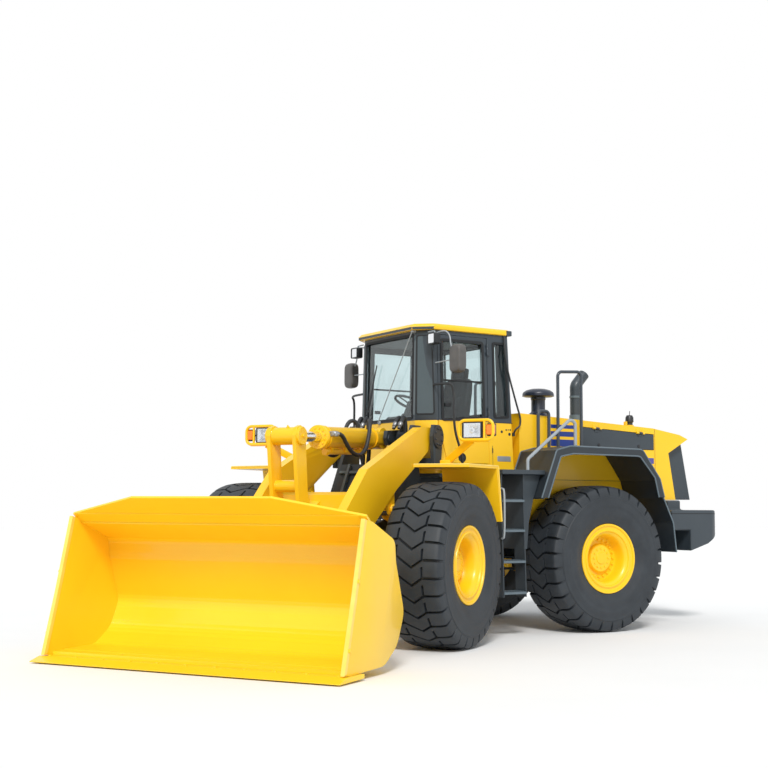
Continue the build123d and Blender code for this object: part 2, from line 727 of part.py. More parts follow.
for name, side in (("left", 1), ("right", -1)):
    with BuildPart() as leaf_prism:
        side_plate(shrink(door_outline, door_gap), *span(side, 500, 900))
    with BuildPart() as pane_prism:
        side_plate(shrink(door_window, seat_gap), *span(side, 500, 900))

    with BuildPart() as cab_door:
        add(cab_body(0))
        add(cab_body(cab_wall - 5), mode=Mode.SUBTRACT)
        add(leaf_prism.part, mode=Mode.INTERSECT)
        side_plate(door_window, *span(side, 500, 900), mode=Mode.SUBTRACT)
        for line in cab_door_hinges(side):
            moving_half(line)
    cab_door.part.label = f"cab_door_{name}"
    export_step(cab_door.part, f"parts/cab_door_{name}.step")

    with BuildPart() as door_glass:
        add(cab_body(glass_inset))
        add(cab_body(glass_inset + glass_thickness), mode=Mode.SUBTRACT)
        add(pane_prism.part, mode=Mode.INTERSECT)
    door_glass.part.label = f"door_glass_{name}"
    export_step(door_glass.part, f"parts/door_glass_{name}.step")

# seat, console, steering wheel
cab_deck_z = cab_floor_z + 30
with BuildPart() as seat_base:
    block(-520, -80, -180, 180, cab_deck_z, cab_deck_z + 330)
seat_base.part.label = "seat_base"
export_step(seat_base.part, "parts/seat_base.step")

with BuildPart() as seat_cushion:
    side_plate([(-80, cab_deck_z + 330 + seat_gap), (-60, cab_deck_z + 450), (-430, cab_deck_z + 440),
                (-530, cab_deck_z + 1130), (-640, cab_deck_z + 1110), (-540, cab_deck_z + 330 + seat_gap)], -240, 240)
seat_cushion.part.label = "seat_cushion"
export_step(seat_cushion.part, "parts/seat_cushion.step")

wheel_hub = Vector(60, 0, cab_deck_z + 760)
column_top = wheel_hub + Vector(20, 0, -45)
column_reach = (wheel_hub - column_top).length
column_line = (wheel_hub - column_top).normalized()
with BuildPart() as steering_console:
    side_plate([(300, cab_deck_z), (300, cab_deck_z + 480), (170, cab_deck_z + 560), (40, cab_deck_z + 380),
                (120, cab_deck_z)], -160, 160)
    bar(tuple(column_top - column_line * 280), tuple(column_top), 40)
steering_console.part.label = "steering_console"
export_step(steering_console.part, "parts/steering_console.step")

with BuildPart() as steering_wheel:
    hub_plane = Plane(wheel_hub, x_dir=(0, 1, 0), z_dir=wheel_hub - column_top)
    hub_foot = hub_plane.from_local_coords((0, 0, seat_gap - column_reach))
    with BuildSketch(Plane(hub_foot, x_dir=(0, 1, 0), z_dir=hub_plane.z_dir)) as hub:
        Circle(45)
    extrude(hub.sketch, amount=column_reach + 5)
    with Locations(hub_plane.location):
        Torus(200, 15)
    for angle in (30, 150, 270):
        near = hub_plane.from_local_coords((35 * cos(radians(angle)), 35 * sin(radians(angle)), -15))
        tip = hub_plane.from_local_coords((198 * cos(radians(angle)), 198 * sin(radians(angle)), 0))
        bar(tuple(near), tuple(tip), 8)
steering_wheel.part.label = "steering_wheel"
export_step(steering_wheel.part, "parts/steering_wheel.step")

# ---------------------------------------------------------------- stacks, rails, mirrors, lamps
cleaner_place = (-1650, 250)
exhaust_place = (-2250, 250)
with BuildPart() as air_cleaner:
    for z_low, z_high, radius in [(2440, 2600, 150), (2600, 2790, 90), (2790, 2890, 195)]:
        upright_pin(*cleaner_place, radius, z_low, z_high)
    hood_prism()
air_cleaner.part.label = "air_cleaner"
export_step(air_cleaner.part, "parts/air_cleaner.step")

with BuildPart() as exhaust_stack:
    x, y = exhaust_place
    bent_tube([(x, y, 2430), (x, y, 2960), (x - 140, y, 3110)], 90, 70)
    hood_prism()
exhaust_stack.part.label = "exhaust_stack"
export_step(exhaust_stack.part, "parts/exhaust_stack.step")

rail_radius = 19
rail_stand_off = 40


def fender_top(x):
    """Height of the rear fender's flat top at x, with the seat gap."""
    (x_front, z_front), (x_back, z_back) = arch[2], arch[3]
    return z_front + (z_back - z_front) * (x - x_front) / (x_back - x_front) + rail_radius * 0.02 + seat_gap


with BuildPart() as handrails:
    for side in (1, -1):
        near_y = side * (hood_half_width + rail_stand_off)
        far_y = side * (fender_outer_y - 45)
        bent_tube([(-1180, near_y, fender_top(-1180)), (-1180, near_y, 2560), (-1340, near_y, 2560),
                   (-1340, near_y, fender_top(-1340))], 50, rail_radius)
        bent_tube([(-1480, near_y, fender_top(-1480)), (-1480, near_y, 3040), (-1840, near_y, 3060),
                   (-1840, near_y, fender_top(-1840))], 60, rail_radius)
        bent_tube([(-600, far_y - side * 50, platform_z + seat_gap), (-600, far_y - side * 50, 1960),
                   (-1250, far_y, 2480), (-1250, far_y, fender_top(-1250))], 60, rail_radius)
handrails.part.label = "handrails"
export_step(handrails.part, "parts/handrails.step")

with BuildPart() as mirrors:
    for side in (1, -1):
        bar((290, side * 640, cab_top_z - 130), (210, side * 1130, cab_top_z - 190), 14)
        low, high = span(side, 1090, 1260)
        block(150, 270, low, high, cab_top_z - 470, cab_top_z - 160)
    add(cab_body(-seat_gap), mode=Mode.SUBTRACT)
mirrors.part.label = "mirrors"
export_step(mirrors.part, "parts/mirrors.step")

with BuildPart() as roof_lamps:
    for side in (1, -1):
        low, high = span(side, 620, 740)
        block(360, 450, low, high, cab_top_z - 150, cab_top_z - 40)
        upright_pin(390, side * 640, 15, cab_top_z - 60, cab_top_z - seat_gap)
roof_lamps.part.label = "roof_lamps"
export_step(roof_lamps.part, "parts/roof_lamps.step")

# ---------------------------------------------------------------- front frame
tower_points = [(front_web_x, front_frame_bottom_z), (front_web_x, 1250), (640, 1500), (740, 1850),
                (700, 2330), (900, 2330), (1150, 1900), (1500, 1300), (front_frame_end_x, 1150),
                (front_frame_end_x, 1000), (front_axle_x - 260, 1000), (front_axle_x - 420, front_frame_bottom_z)]
ear_y = boom_y + boom_plate + 20
with BuildPart() as front_frame:
    for side in (1, -1):
        side_plate(tower_points, *span(side, front_plate_y - frame_plate, front_plate_y))
        # outer ear of the boom's fork, joined to the tower behind the boom's boss
        ear = [(680, 1860), (640, 2200), (700, 2330), (860, 2330), (900, 2200), (860, 1860)]
        side_plate(ear, *span(side, ear_y, ear_y + tower_ear))
        low, high = span(side, front_plate_y, ear_y + tower_ear)
        block(690, 850, low, high, 1860, 1900 + 60)
        cross_pin(boom_pivot, boom_pin_radius, *span(side, front_plate_y - frame_plate, ear_y + tower_ear + 15))
        # lift cylinder brackets
        low, high = span(side, front_plate_y, 575)
        cross_pin(lift_base, lift_pin_radius, low, high)
        # steering eyes
        for z in (steer_eye[2] - steer_pin_reach, steer_eye[2] + steer_pin_reach - steer_lug_plate):
            low, high = span(side, front_plate_y - frame_plate - 60, steer_eye[1] + 50)
            block(steer_eye[0] - 50, front_web_x + 60, low, high, z, z + steer_lug_plate)
        # pin ends outside the lugs; the eye between them may move away from its pin
        for z in (steer_eye[2] - steer_pin_reach - 15, steer_eye[2] + steer_pin_reach):
            upright_pin(steer_eye[0], side * steer_eye[1], steer_pin_radius, z, z + 15)
    for x_low, x_high, z_low, z_high in [(front_web_x, front_web_x + frame_plate, front_frame_bottom_z, 1250),
                                         (front_frame_end_x - frame_plate, front_frame_end_x, 1000, 1150)]:
        block(x_low, x_high, 1 - front_plate_y, front_plate_y - 1, z_low, z_high)
    side_plate([(1110, 1880), (1460, 1290), (1500, 1300), (1150, 1890)], 1 - front_plate_y, front_plate_y - 1)
    cross_pin(boom_pivot, tower_tube_radius, -front_plate_y, front_plate_y)
    # ears for the tilt cylinder, carried by the tower's cross tube
    tilt_ear = [(boom_pivot[0] - 60, 2290), (1060, 2262), (1085, 2180), (1050, 2105), (boom_pivot[0] - 60, 2105)]
    for side in (1, -1):
        side_plate(tilt_ear, *span(side, tilt_ear_y, tilt_ear_y + 40))
    cross_pin(tilt_base, tilt_pin_radius, -tilt_ear_y - 52, tilt_ear_y + 52)
    # fork plates round the rear frame's lugs, with their pins
    for z in (lower_lug_z, upper_lug_z):
        for low in (z - lug_plate / 2 - running_gap - fork_plate, z + lug_plate / 2 + running_gap):
            wedge = [(front_web_x + 10, 300), (front_web_x + 10, -300), (60, 14 - lug_radius), (60, lug_radius - 14)]
            floor_plate(wedge, low, low + fork_plate)
            upright_pin(0, 0, lug_radius, low, low + fork_plate)
        reach = lug_plate / 2 + running_gap + fork_plate
        upright_pin(0, 0, hinge_pin_radius, z - reach, z + reach)
front_frame.part = steered(front_frame.part)
front_frame.part.label = "front_frame"
export_step(front_frame.part, "parts/front_frame.step")

fender_top_z = 1860
fender_rear_x = front_axle_x - 725
fender_foot_x = front_axle_x - 835
with BuildPart() as front_fenders:
    for side in (1, -1):
        top = [(fender_rear_x + 850, 860), (fender_rear_x + 750, 1440), (fender_rear_x, 1460), (fender_rear_x, 820),
               (fender_rear_x + 800, 820)]
        floor_plate([(x, side * y) for x, y in top], fender_top_z - 30, fender_top_z)
        low, high = span(side, 820, 1460)
        side_plate([(fender_rear_x + 60, fender_top_z - 30), (fender_rear_x, fender_top_z), (fender_rear_x - 100, 1270),
                    (fender_rear_x - 70, 1270)], low, high)
        # support: a foot on the frame, an upright plate behind the tyre, an arm to the rear panel
        block(fender_foot_x - 50, fender_foot_x + 50, *span(side, front_plate_y, 640), 890, 970)
        side_plate([(fender_foot_x - 50, 890), (fender_foot_x + 50, 890), (fender_foot_x + 120, 1560),
                    (fender_foot_x + 40, 1560)], *span(side, 620, 680))
        block(fender_rear_x - 55, fender_rear_x - 10, *span(side, 640, 860), 1490, 1560)
front_fenders.part = steered(front_fenders.part)
front_fenders.part.label = "front_fenders"
export_step(front_fenders.part, "parts/front_fenders.step")

lamp_face_x = front_axle_x - 395
lamp_width = 420
lamp_height = 240
lamp_centre = (1330, 2230)
with BuildPart() as front_lamps:
    for side in (1, -1):
        # housing, and in front of it a tube frame with a bar between lamp and signal
        face = Plane((lamp_face_x, side * lamp_centre[0], lamp_centre[1]), x_dir=(0, 1, 0), z_dir=(-1, 0, 0))
        with BuildSketch(face.offset(30)) as housing:
            RectangleRounded(lamp_width - 60, lamp_height - 60, 40)
        extrude(housing.sketch, amount=90)
        with BuildSketch(face) as ring:
            RectangleRounded(lamp_width, lamp_height, 70)
            RectangleRounded(lamp_width - 70, lamp_height - 70, 40, mode=Mode.SUBTRACT)
            with Locations((-side * 40, 0)):
                Rectangle(24, lamp_height - 60)
        extrude(ring.sketch, amount=36)
        bar((lamp_face_x - 230, side * 900, fender_top_z + 60), (lamp_face_x - 60, side * 1250, lamp_centre[1] - 90), 30)
        low, high = span(side, 840, 960)
        block(lamp_face_x - 290, lamp_face_x - 170, low, high, fender_top_z + seat_gap, fender_top_z + 60)
front_lamps.part = steered(front_lamps.part)
front_lamps.part.label = "front_lamps"
export_step(front_lamps.part, "parts/front_lamps.step")

# ---------------------------------------------------------------- boom
boom_top = [(1075, 2289), (2323, 1800), (2783, 1372), (3160, 760), (3390, 480)]
boom_low = [(3180, 290), (2940, 560), (2560, 990), (2016, 1354), (1660, 1605), (896, 2031)]
with BuildPart() as boom:
    for side in (1, -1):
        low, high = span(side, boom_y, boom_y + boom_plate)
        side_plate([(782, 2302)] + boom_top + boom_low, low, high)
        cross_pin(boom_pivot, boom_boss_radius, low, high)
        cross_pin(bucket_pivot, 110, low, high)
        # fork that holds the lift rod's eye below the arm, and the block that joins its inner plate to the arm
        for near in (lift_y - lift_fork_y - fork_ear, lift_y + lift_fork_y):
            side_plate(lift_fork, *span(side, near, near + fork_ear))
        block(1720, 1860, *span(side, lift_y - lift_fork_y - fork_ear, boom_y + 10), 1500, 1560)
        for near in (lift_y - lift_fork_y - fork_ear - 12, lift_y + lift_fork_y + fork_ear):
            cross_pin(lift_eye, lift_pin_radius, *span(side, near, near + 12))
        cross_pin(boom_pivot, boom_pin_radius + pin_gap, low, high, mode=Mode.SUBTRACT)
        cross_pin(bucket_pivot, bucket_pin_radius + pin_gap, low, high, mode=Mode.SUBTRACT)
    side_plate([(2250, 1470), (2330, 1570), (2470, 1540), (2500, 1260), (2400, 1200)], -boom_y - 5, boom_y + 5)
    # bracket that carries the bell crank
    side_plate([(2440, 1500), (2800, 1290), (2860, 1200), (2800, 1110), (2440, 1250)],
               -crank_y + running_gap, crank_y - running_gap)
    cross_pin(crank_pivot, crank_pin_radius, -crank_y - crank_plate - 12, crank_y + crank_plate + 12)
boom.part = steered(boom.part)
boom.part.label = "boom"
export_step(boom.part, "parts/boom.step")

with BuildPart() as bell_crank:
    outline = [(2850, 2110), (2880, 2190), (2950, 2215), (3020, 2190), (3050, 2110), (3000, 1700), (2930, 1200),
               (2990, 516), (2900, 430), (2810, 516), (2740, 800), (2640, 1200), (2800, 1560)]
    for side in (1, -1):
        low, high = span(side, crank_y, crank_y + crank_plate)
        side_plate(outline, low, high)
        cross_pin(crank_pivot, crank_pin_radius + pin_gap, low, high, mode=Mode.SUBTRACT)
        cross_pin(crank_top, lift_pin_radius, *span(side, crank_y + crank_plate, crank_y + crank_plate + 12))
    cross_pin((2900, 1620), 60, -crank_y - 5, crank_y + 5)
    cross_pin(crank_foot, link_pin_radius, -crank_y - crank_plate - 12, crank_y + crank_plate + 12)
bell_crank.part = steered(bell_crank.part)
bell_crank.part.label = "bell_crank"
export_step(bell_crank.part, "parts/bell_crank.step")

with BuildPart() as tilt_link:
    reach = crank_y - running_gap
    cross_pin(crank_foot, 80, -reach, reach)
    cross_pin(link_head, 80, -crank_y + seat_gap, crank_y - seat_gap)
    side_plate([(2880, 580), (3430, 830), (3470, 690), (2920, 450)], -70, 70)
    cross_pin(crank_foot, link_pin_radius + pin_gap, -crank_y, crank_y, mode=Mode.SUBTRACT)
tilt_link.part = steered(tilt_link.part)
tilt_link.part.label = "tilt_link"
export_step(tilt_link.part, "parts/tilt_link.step")

# ---------------------------------------------------------------- bucket
# x, z and radius of each corner of the shell's outer face, from the top edge round the back to the floor
bucket_back = [(4112, 1296, 0), (3689, 1131, 100), (3672, 949, 300), (3507, 498, 180), (3640, 224, 300),
               (3884, 74, 250)]
bucket_inside = [(4478, 58 + bucket_plate, 0), (3894, 74 + bucket_plate, 250 - bucket_plate),
                 (3665, 252, 300 - bucket_plate), (3545, 500, 180 - bucket_plate), (3706, 940, 300 - bucket_plate),
                 (3720, 1100, 100 - bucket_plate), (4122, 1262, 0)]
with BuildPart() as bucket:
    rounded_plate(bucket_back + [(4478, 58, 0)] + bucket_inside, 5 - bucket_half_width, bucket_half_width - 5)
    cheek = bucket_back + [(4478, 58, 0), (4600, 66, 0), (4429, 665, 0), (4260, 1320, 0)]
    for side in (1, -1):
        low, high = span(side, bucket_half_width - bucket_plate, bucket_half_width)
        rounded_plate(cheek, low, high)
        for y in (boom_y - 40 - running_gap, boom_y + boom_plate + running_gap):
            low, high = span(side, y, y + 40)
            side_plate([(3290, 510), (3190, 400), (3290, 290), (3600, 330), (3565, 420), (3552, 560)], low, high)
        low, high = span(side, boom_y - 40 - running_gap, boom_y + boom_plate + running_gap + 40)
        cross_pin(bucket_pivot, bucket_pin_radius, low, high)
        low, high = span(side, crank_y, crank_y + 40)
        side_plate([(3450, 860), (3360, 800), (3370, 700), (3540, 560), (3610, 700), (3680, 1000)], low, high)
        cross_pin(link_head, link_pin_radius, *span(side, crank_y + 40, crank_y + 52))
    # spill guard: a plate that leans forward from the top edge, lower at both ends
    guard_foot = Vector(4117, 0, 1270)
    guard_lean = Vector(293, 0, 230).normalized()
    guard_length = 372
    guard_end = 130
    guard_face = Plane(guard_foot, x_dir=(0, 1, 0), z_dir=Vector(0, 1, 0).cross(guard_lean))
    with BuildSketch(guard_face) as guard:
        with BuildLine():
            half = [(bucket_half_width - 5, 0), (bucket_half_width - 5, guard_end), (745, guard_length)]
            Polyline(*half, *[(-y, reach) for y, reach in reversed(half)], close=True)
        make_face()
    extrude(guard.sketch, amount=guard_thickness / 2, both=True)
bucket.part = steered(bucket.part)
bucket.part.label = "bucket"
export_step(bucket.part, "parts/bucket.step")

with BuildPart() as cutting_edge:
    side_plate([(4300, 58 - edge_thickness), (4300, 58 - seat_gap), (4600, 58 - seat_gap), (edge_tip_x, edge_clear + 8),
                (edge_tip_x - 5, edge_clear)], -edge_half_width, edge_half_width)
cutting_edge.part = steered(cutting_edge.part)
cutting_edge.part.label = "cutting_edge"
export_step(cutting_edge.part, "parts/cutting_edge.step")

# ---------------------------------------------------------------- cylinders
# A barrel runs from its pin eye to the gland, a rod from its piston to its own eye. Each rod slides in its barrel.


def along(start, end, distance):
    """The point at a distance from start on the way to end, in X, Y and Z."""
    direction = (Vector(*end) - Vector(*start)).normalized()
    return tuple(Vector(*start) + direction * distance)


def eye(centre, axis, radius, width, bore, mode=Mode.ADD):
    """A round eye about a pin, with its width along the pin."""
    start = Vector(*centre) - Vector(*axis) * (width / 2)
    with BuildSketch(Plane(start, z_dir=axis)) as ring:
        Circle(radius)
        if bore:
            Circle(bore, mode=Mode.SUBTRACT)
    extrude(ring.sketch, amount=width)


def barrel(base, tip, axis, length, outer, wall, rod_radius, eye_width, pin_radius):
    """Tube with a closed foot, a gland that closes on the rod, and the pin eye."""
    eye(base, axis, outer + 8, eye_width, 0)
    bar(base, along(base, tip, length), outer)
    bar(along(base, tip, length - gland), along(base, tip, length), outer + gland_lip)
    bar(along(base, tip, outer + 60), along(base, tip, length - gland), outer - wall, mode=Mode.SUBTRACT)
    bar(along(base, tip, length - gland - 1), along(base, tip, length + 1), rod_radius + seat_gap,
        mode=Mode.SUBTRACT)
    hole_start = Vector(*base) - Vector(*axis) * eye_width
    bar(tuple(hole_start), tuple(hole_start + Vector(*axis) * (2 * eye_width)), pin_radius + pin_gap,
        mode=Mode.SUBTRACT)


def rod(base, tip, axis, start, radius, piston, eye_radius, eye_width):
    """Piston, rod and eye."""
    bar(along(base, tip, start), along(base, tip, start + piston_length), piston)
    bar(along(base, tip, start), tip, radius)
    eye(tip, axis, eye_radius, eye_width, 0)


across = (0, 1, 0)
along_z = (0, 0, 1)
gland = 50
piston_length = 60
with BuildPart() as lift_barrels:
    for side in (1, -1):
        base = (lift_base[0], side * lift_y, lift_base[1])
        tip = (lift_eye[0], side * lift_y, lift_eye[1])
        barrel(base, tip, across, 1400, lift_barrel_radius, lift_barrel_wall, 45, 90, lift_pin_radius)
lift_barrels.part = steered(lift_barrels.part)
lift_barrels.part.label = "lift_barrels"
export_step(lift_barrels.part, "parts/lift_barrels.step")

with BuildPart() as lift_rods:
    for side in (1, -1):
        base = (lift_base[0], side * lift_y, lift_base[1])
        tip = (lift_eye[0], side * lift_y, lift_eye[1])
        rod(base, tip, across, 145, 45, lift_barrel_radius - lift_barrel_wall - seat_gap, lift_eye_radius,
            lift_eye_width)
lift_rods.part = steered(lift_rods.part)
lift_rods.part.label = "lift_rods"
export_step(lift_rods.part, "parts/lift_rods.step")

tilt_pin = (tilt_base[0], 0, tilt_base[1])
tilt_tip = (crank_top[0], 0, crank_top[1])
with BuildPart() as tilt_barrel:
    barrel(tilt_pin, tilt_tip, across, 1330, tilt_barrel_radius, tilt_barrel_wall, 53, tilt_eye_width, tilt_pin_radius)
tilt_barrel.part = steered(tilt_barrel.part)
tilt_barrel.part.label = "tilt_barrel"
export_step(tilt_barrel.part, "parts/tilt_barrel.step")

with BuildPart() as tilt_rod:
    rod(tilt_pin, tilt_tip, across, 720, 53, tilt_barrel_radius - tilt_barrel_wall - seat_gap, 85,
        2 * (crank_y - seat_gap))
tilt_rod.part = steered(tilt_rod.part)
tilt_rod.part.label = "tilt_rod"
export_step(tilt_rod.part, "parts/tilt_rod.step")

for name, side in (("left", 1), ("right", -1)):
    base = (steer_base[0], side * steer_base[1], steer_base[2])
    eye_angle = radians(steer_angle) + atan2(side * steer_eye[1], steer_eye[0])
    eye_reach = hypot(steer_eye[0], steer_eye[1])
    tip = (eye_reach * cos(eye_angle), eye_reach * sin(eye_angle), steer_eye[2])
    reach = hypot(tip[0] - base[0], tip[1] - base[1])
    with BuildPart() as steer_barrel:
        barrel(base, tip, along_z, 800, steer_barrel_radius, steer_barrel_wall, 30,
               2 * (steer_pin_reach - steer_lug_plate - running_gap), steer_pin_radius)
    steer_barrel.part.label = f"steer_barrel_{name}"
    export_step(steer_barrel.part, f"parts/steer_barrel_{name}.step")
    with BuildPart() as steer_rod:
        rod(base, tip, along_z, reach - 768, 30, steer_barrel_radius - steer_barrel_wall - seat_gap, 45,
            2 * (steer_pin_reach - steer_lug_plate - seat_gap))
    steer_rod.part.label = f"steer_rod_{name}"
    export_step(steer_rod.part, f"parts/steer_rod_{name}.step")
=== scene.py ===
# %% [markdown]
# # Dressing a wheel loader
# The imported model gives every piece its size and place. This lesson adds what makes it look real:
# paint, rubber, glass, tread, bolts, hoses and lamps. Each new surface is worked out as an array of
# points with numpy and handed to Blender in one go, which is quicker than editing and keeps each
# size in one named value.

# %% Load the frame
import math

import bmesh
import bpy
import numpy as np
from mathutils import Matrix, Vector


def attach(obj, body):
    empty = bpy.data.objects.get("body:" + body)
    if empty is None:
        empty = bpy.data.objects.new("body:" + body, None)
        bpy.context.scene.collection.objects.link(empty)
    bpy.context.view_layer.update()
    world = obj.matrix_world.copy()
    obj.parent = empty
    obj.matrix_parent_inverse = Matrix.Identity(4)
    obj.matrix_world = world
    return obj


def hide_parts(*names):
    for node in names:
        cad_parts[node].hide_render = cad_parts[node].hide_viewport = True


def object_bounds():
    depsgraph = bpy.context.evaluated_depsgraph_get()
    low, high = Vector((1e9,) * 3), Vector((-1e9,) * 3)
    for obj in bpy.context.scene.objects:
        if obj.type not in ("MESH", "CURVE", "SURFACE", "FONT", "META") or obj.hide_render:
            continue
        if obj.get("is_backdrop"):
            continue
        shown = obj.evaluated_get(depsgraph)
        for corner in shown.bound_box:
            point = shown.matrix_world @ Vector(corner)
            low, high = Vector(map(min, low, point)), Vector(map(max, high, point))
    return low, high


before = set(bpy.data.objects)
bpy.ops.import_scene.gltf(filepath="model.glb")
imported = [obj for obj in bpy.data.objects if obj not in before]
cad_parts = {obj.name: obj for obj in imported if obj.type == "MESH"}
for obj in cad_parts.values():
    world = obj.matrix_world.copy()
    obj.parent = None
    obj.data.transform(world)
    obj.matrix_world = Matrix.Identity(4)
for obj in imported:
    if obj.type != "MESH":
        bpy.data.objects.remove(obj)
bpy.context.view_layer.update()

# %% [markdown]
# ## The camera
# The machine is seen from its front left corner, from eye height, with the lens looking up a
# little. A camera could be aimed with a Track To constraint, but writing its three directions into
# a matrix also keeps a small roll.

# %% Camera
camera_place = Vector((8.4131, 12.8836, 1.4261))
camera_yaw, camera_pitch, camera_roll = (math.radians(a) for a in (58.26, 5.39, 0.28))
ahead = Vector((-math.cos(camera_yaw) * math.cos(camera_pitch),
                -math.sin(camera_yaw) * math.cos(camera_pitch), math.sin(camera_pitch)))
right = ahead.cross(Vector((0, 0, 1))).normalized()
up = right.cross(ahead)
right, up = (right * math.cos(camera_roll) + up * math.sin(camera_roll),
             up * math.cos(camera_roll) - right * math.sin(camera_roll))
camera = bpy.data.objects.new("camera", bpy.data.cameras.new("camera"))
camera.data.lens = 60.83
camera.data.clip_end = 200
camera.matrix_world = Matrix((right, up, -ahead)).transposed().to_4x4()
camera.location = camera_place
bpy.context.collection.objects.link(camera)
bpy.context.scene.camera = camera
print("camera stands at", [round(v, 2) for v in camera_place])

# %% [markdown]
# ## Noise and borders for materials
# Every finish needs soft noise on the object's own coordinates, and two of them change colour at a
# border, where the slate upper part of a door meets its yellow lower part. Both are small groups of
# nodes, made by a function each.

# %% Noise and split
def noise(tree, place, scale, detail, roughness=0.5):
    """Noise texture on the given coordinates; gives its factor."""
    node = tree.nodes.new("ShaderNodeTexNoise")
    node.inputs["Scale"].default_value = scale
    node.inputs["Detail"].default_value = detail
    node.inputs["Roughness"].default_value = roughness
    tree.links.new(place, node.inputs["Vector"])
    return node.outputs["Fac"]


def split_paint(tree, place, paint, axis, value, other):
    """Colour = other where the size of one coordinate is above the value, else paint."""
    split = tree.nodes.new("ShaderNodeSeparateXYZ")
    tree.links.new(place, split.inputs["Vector"])
    size = tree.nodes.new("ShaderNodeMath")
    size.operation = "ABSOLUTE"
    tree.links.new(split.outputs[axis], size.inputs[0])
    over = tree.nodes.new("ShaderNodeMath")
    over.operation = "GREATER_THAN"
    over.inputs[1].default_value = value
    tree.links.new(size.outputs["Value"], over.inputs[0])
    both = tree.nodes.new("ShaderNodeMix")
    both.data_type = "RGBA"
    tree.links.new(over.outputs["Value"], both.inputs["Factor"])
    tree.links.new(paint, both.inputs["A"])
    both.inputs["B"].default_value = (*other, 1)
    return both.outputs["Result"]


print("noise and split ready")

# %% [markdown]
# ## Finish maker
# A finish is a few nodes: broad noise varies the colour and roughness, and a finer noise moves the
# surface through a Bump node. One function makes them all, so every finish is one short call.

# %% Finishes
def finish(name, colour, rough, second=None, spread=0.35, scale=3.0, grain=(400.0, 0.02),
           metallic=0.0, coat=0.0, coat_rough=0.1, rough_spread=0.08, beyond=None):
    """Principled surface whose colour, roughness and bump come from noise.

    Colour = mix(colour, second, broad noise), roughness = rough +- that noise, bump = fine noise.
    beyond = (axis, value, other colour) is the border of a paint in two colours.
    """
    material = bpy.data.materials.new(name)
    material.use_nodes = True
    tree = material.node_tree
    shader = tree.nodes["Principled BSDF"]
    place = tree.nodes.new("ShaderNodeTexCoord").outputs["Object"]

    broad = noise(tree, place, scale, 6, 0.62)
    ramp = tree.nodes.new("ShaderNodeValToRGB")
    low_stop, high_stop = ramp.color_ramp.elements
    low_stop.position, high_stop.position = 0.5 - spread / 2, 0.5 + spread / 2
    low_stop.color, high_stop.color = (*colour, 1), (*(second or colour), 1)
    tree.links.new(broad, ramp.inputs["Fac"])
    paint = ramp.outputs["Color"]
    if beyond:
        paint = split_paint(tree, place, paint, *beyond)
    tree.links.new(paint, shader.inputs["Base Color"])

    tone = tree.nodes.new("ShaderNodeMapRange")
    tone.inputs["To Min"].default_value = max(rough - rough_spread, 0.02)
    tone.inputs["To Max"].default_value = rough + rough_spread
    tree.links.new(broad, tone.inputs["Value"])
    tree.links.new(tone.outputs["Result"], shader.inputs["Roughness"])

    bump = tree.nodes.new("ShaderNodeBump")
    bump.inputs["Strength"].default_value = grain[1]
    bump.inputs["Distance"].default_value = 0.002
    tree.links.new(noise(tree, place, grain[0], 3), bump.inputs["Height"])
    tree.links.new(bump.outputs["Normal"], shader.inputs["Normal"])

    shader.inputs["Metallic"].default_value = metallic
    shader.inputs["Coat Weight"].default_value = coat
    shader.inputs["Coat Roughness"].default_value = coat_rough
    return material


print("finish maker ready")

# %% [markdown]
# ## Glass
# Cab and lamp glass is clear with a faint tint. A thin sheet with alpha would be simpler, but full
# transmission on a pane with two faces bends and tints what stands behind it as real glass does,
# from every side.

# %% Clear panes
def pane(name, tint, rough=0.02):
    """Clear tinted pane: full transmission, the tint taken at both faces."""
    material = bpy.data.materials.new(name)
    material.use_nodes = True
    shader = material.node_tree.nodes["Principled BSDF"]
    shader.inputs["Base Color"].default_value = (*tint, 1)
    shader.inputs["Roughness"].default_value = rough
    shader.inputs["Transmission Weight"].default_value = 1
    shader.inputs["IOR"].default_value = 1.45
    return material


print("pane maker ready")

# %% [markdown]
# ## Colours of this machine
# The body is a warm yellow enamel with a thin clear coat, a shade lighter on the bucket. Frames and
# fenders are slate grey, a little darker and duller the lower they sit. Each finish mixes two close
# tones, because even fresh paint is never one flat colour, and names its own grain: coarse on
# rubber, fine on plastic, woven on cloth.

# %% Paints, rubber and metal
# height where the doors change colour, half width where the rails do
sill, rail_split = 2.400, 1.10
enamel, enamel_deep = (1.0, 0.600, 0.010), (0.96, 0.555, 0.008)
slate_tone, slate_pale = (0.029, 0.041, 0.052), (0.038, 0.051, 0.063)
yellow = finish("yellow_enamel", enamel, 0.36, enamel_deep, scale=1.4, coat=0.15)
bucket_yellow = finish("bucket_enamel", (1.0, 0.655, 0.016), 0.38, (0.98, 0.610, 0.013), scale=0.9,
                       coat=0.3)
door_paint = finish("door_two_colours", enamel, 0.38, enamel_deep, scale=1.4, coat=0.15,
                    beyond=("Z", sill, (0.030, 0.042, 0.053)))
rail_paint = finish("rail_two_colours", (0.034, 0.046, 0.060), 0.42, (0.044, 0.058, 0.074),
                    scale=4.0, coat=0.2, beyond=("Y", rail_split, (0.30, 0.34, 0.38)))
# paler yellow: a painted highlight on edges that catch the light (roof lip, front fender beads,
# bucket cheek strips)
highlight_yellow = finish("painted_highlight_yellow", (1.0, 0.72, 0.16), 0.36, (0.98, 0.66, 0.09), scale=5.0,
                     coat=0.2)
slate = finish("slate_enamel", slate_tone, 0.45, slate_pale, scale=1.8, coat=0.1)
fender_slate = finish("fender_slate", (0.017, 0.024, 0.031), 0.5, (0.024, 0.032, 0.040), scale=2.4,
                      coat=0.05)
frame_slate = finish("frame_slate", (0.024, 0.034, 0.043), 0.5, (0.036, 0.048, 0.058), scale=2.2)
rubber = finish("tyre_rubber", (0.016, 0.021, 0.027), 0.58, (0.028, 0.035, 0.043), scale=5.0,
                grain=(260.0, 0.25))
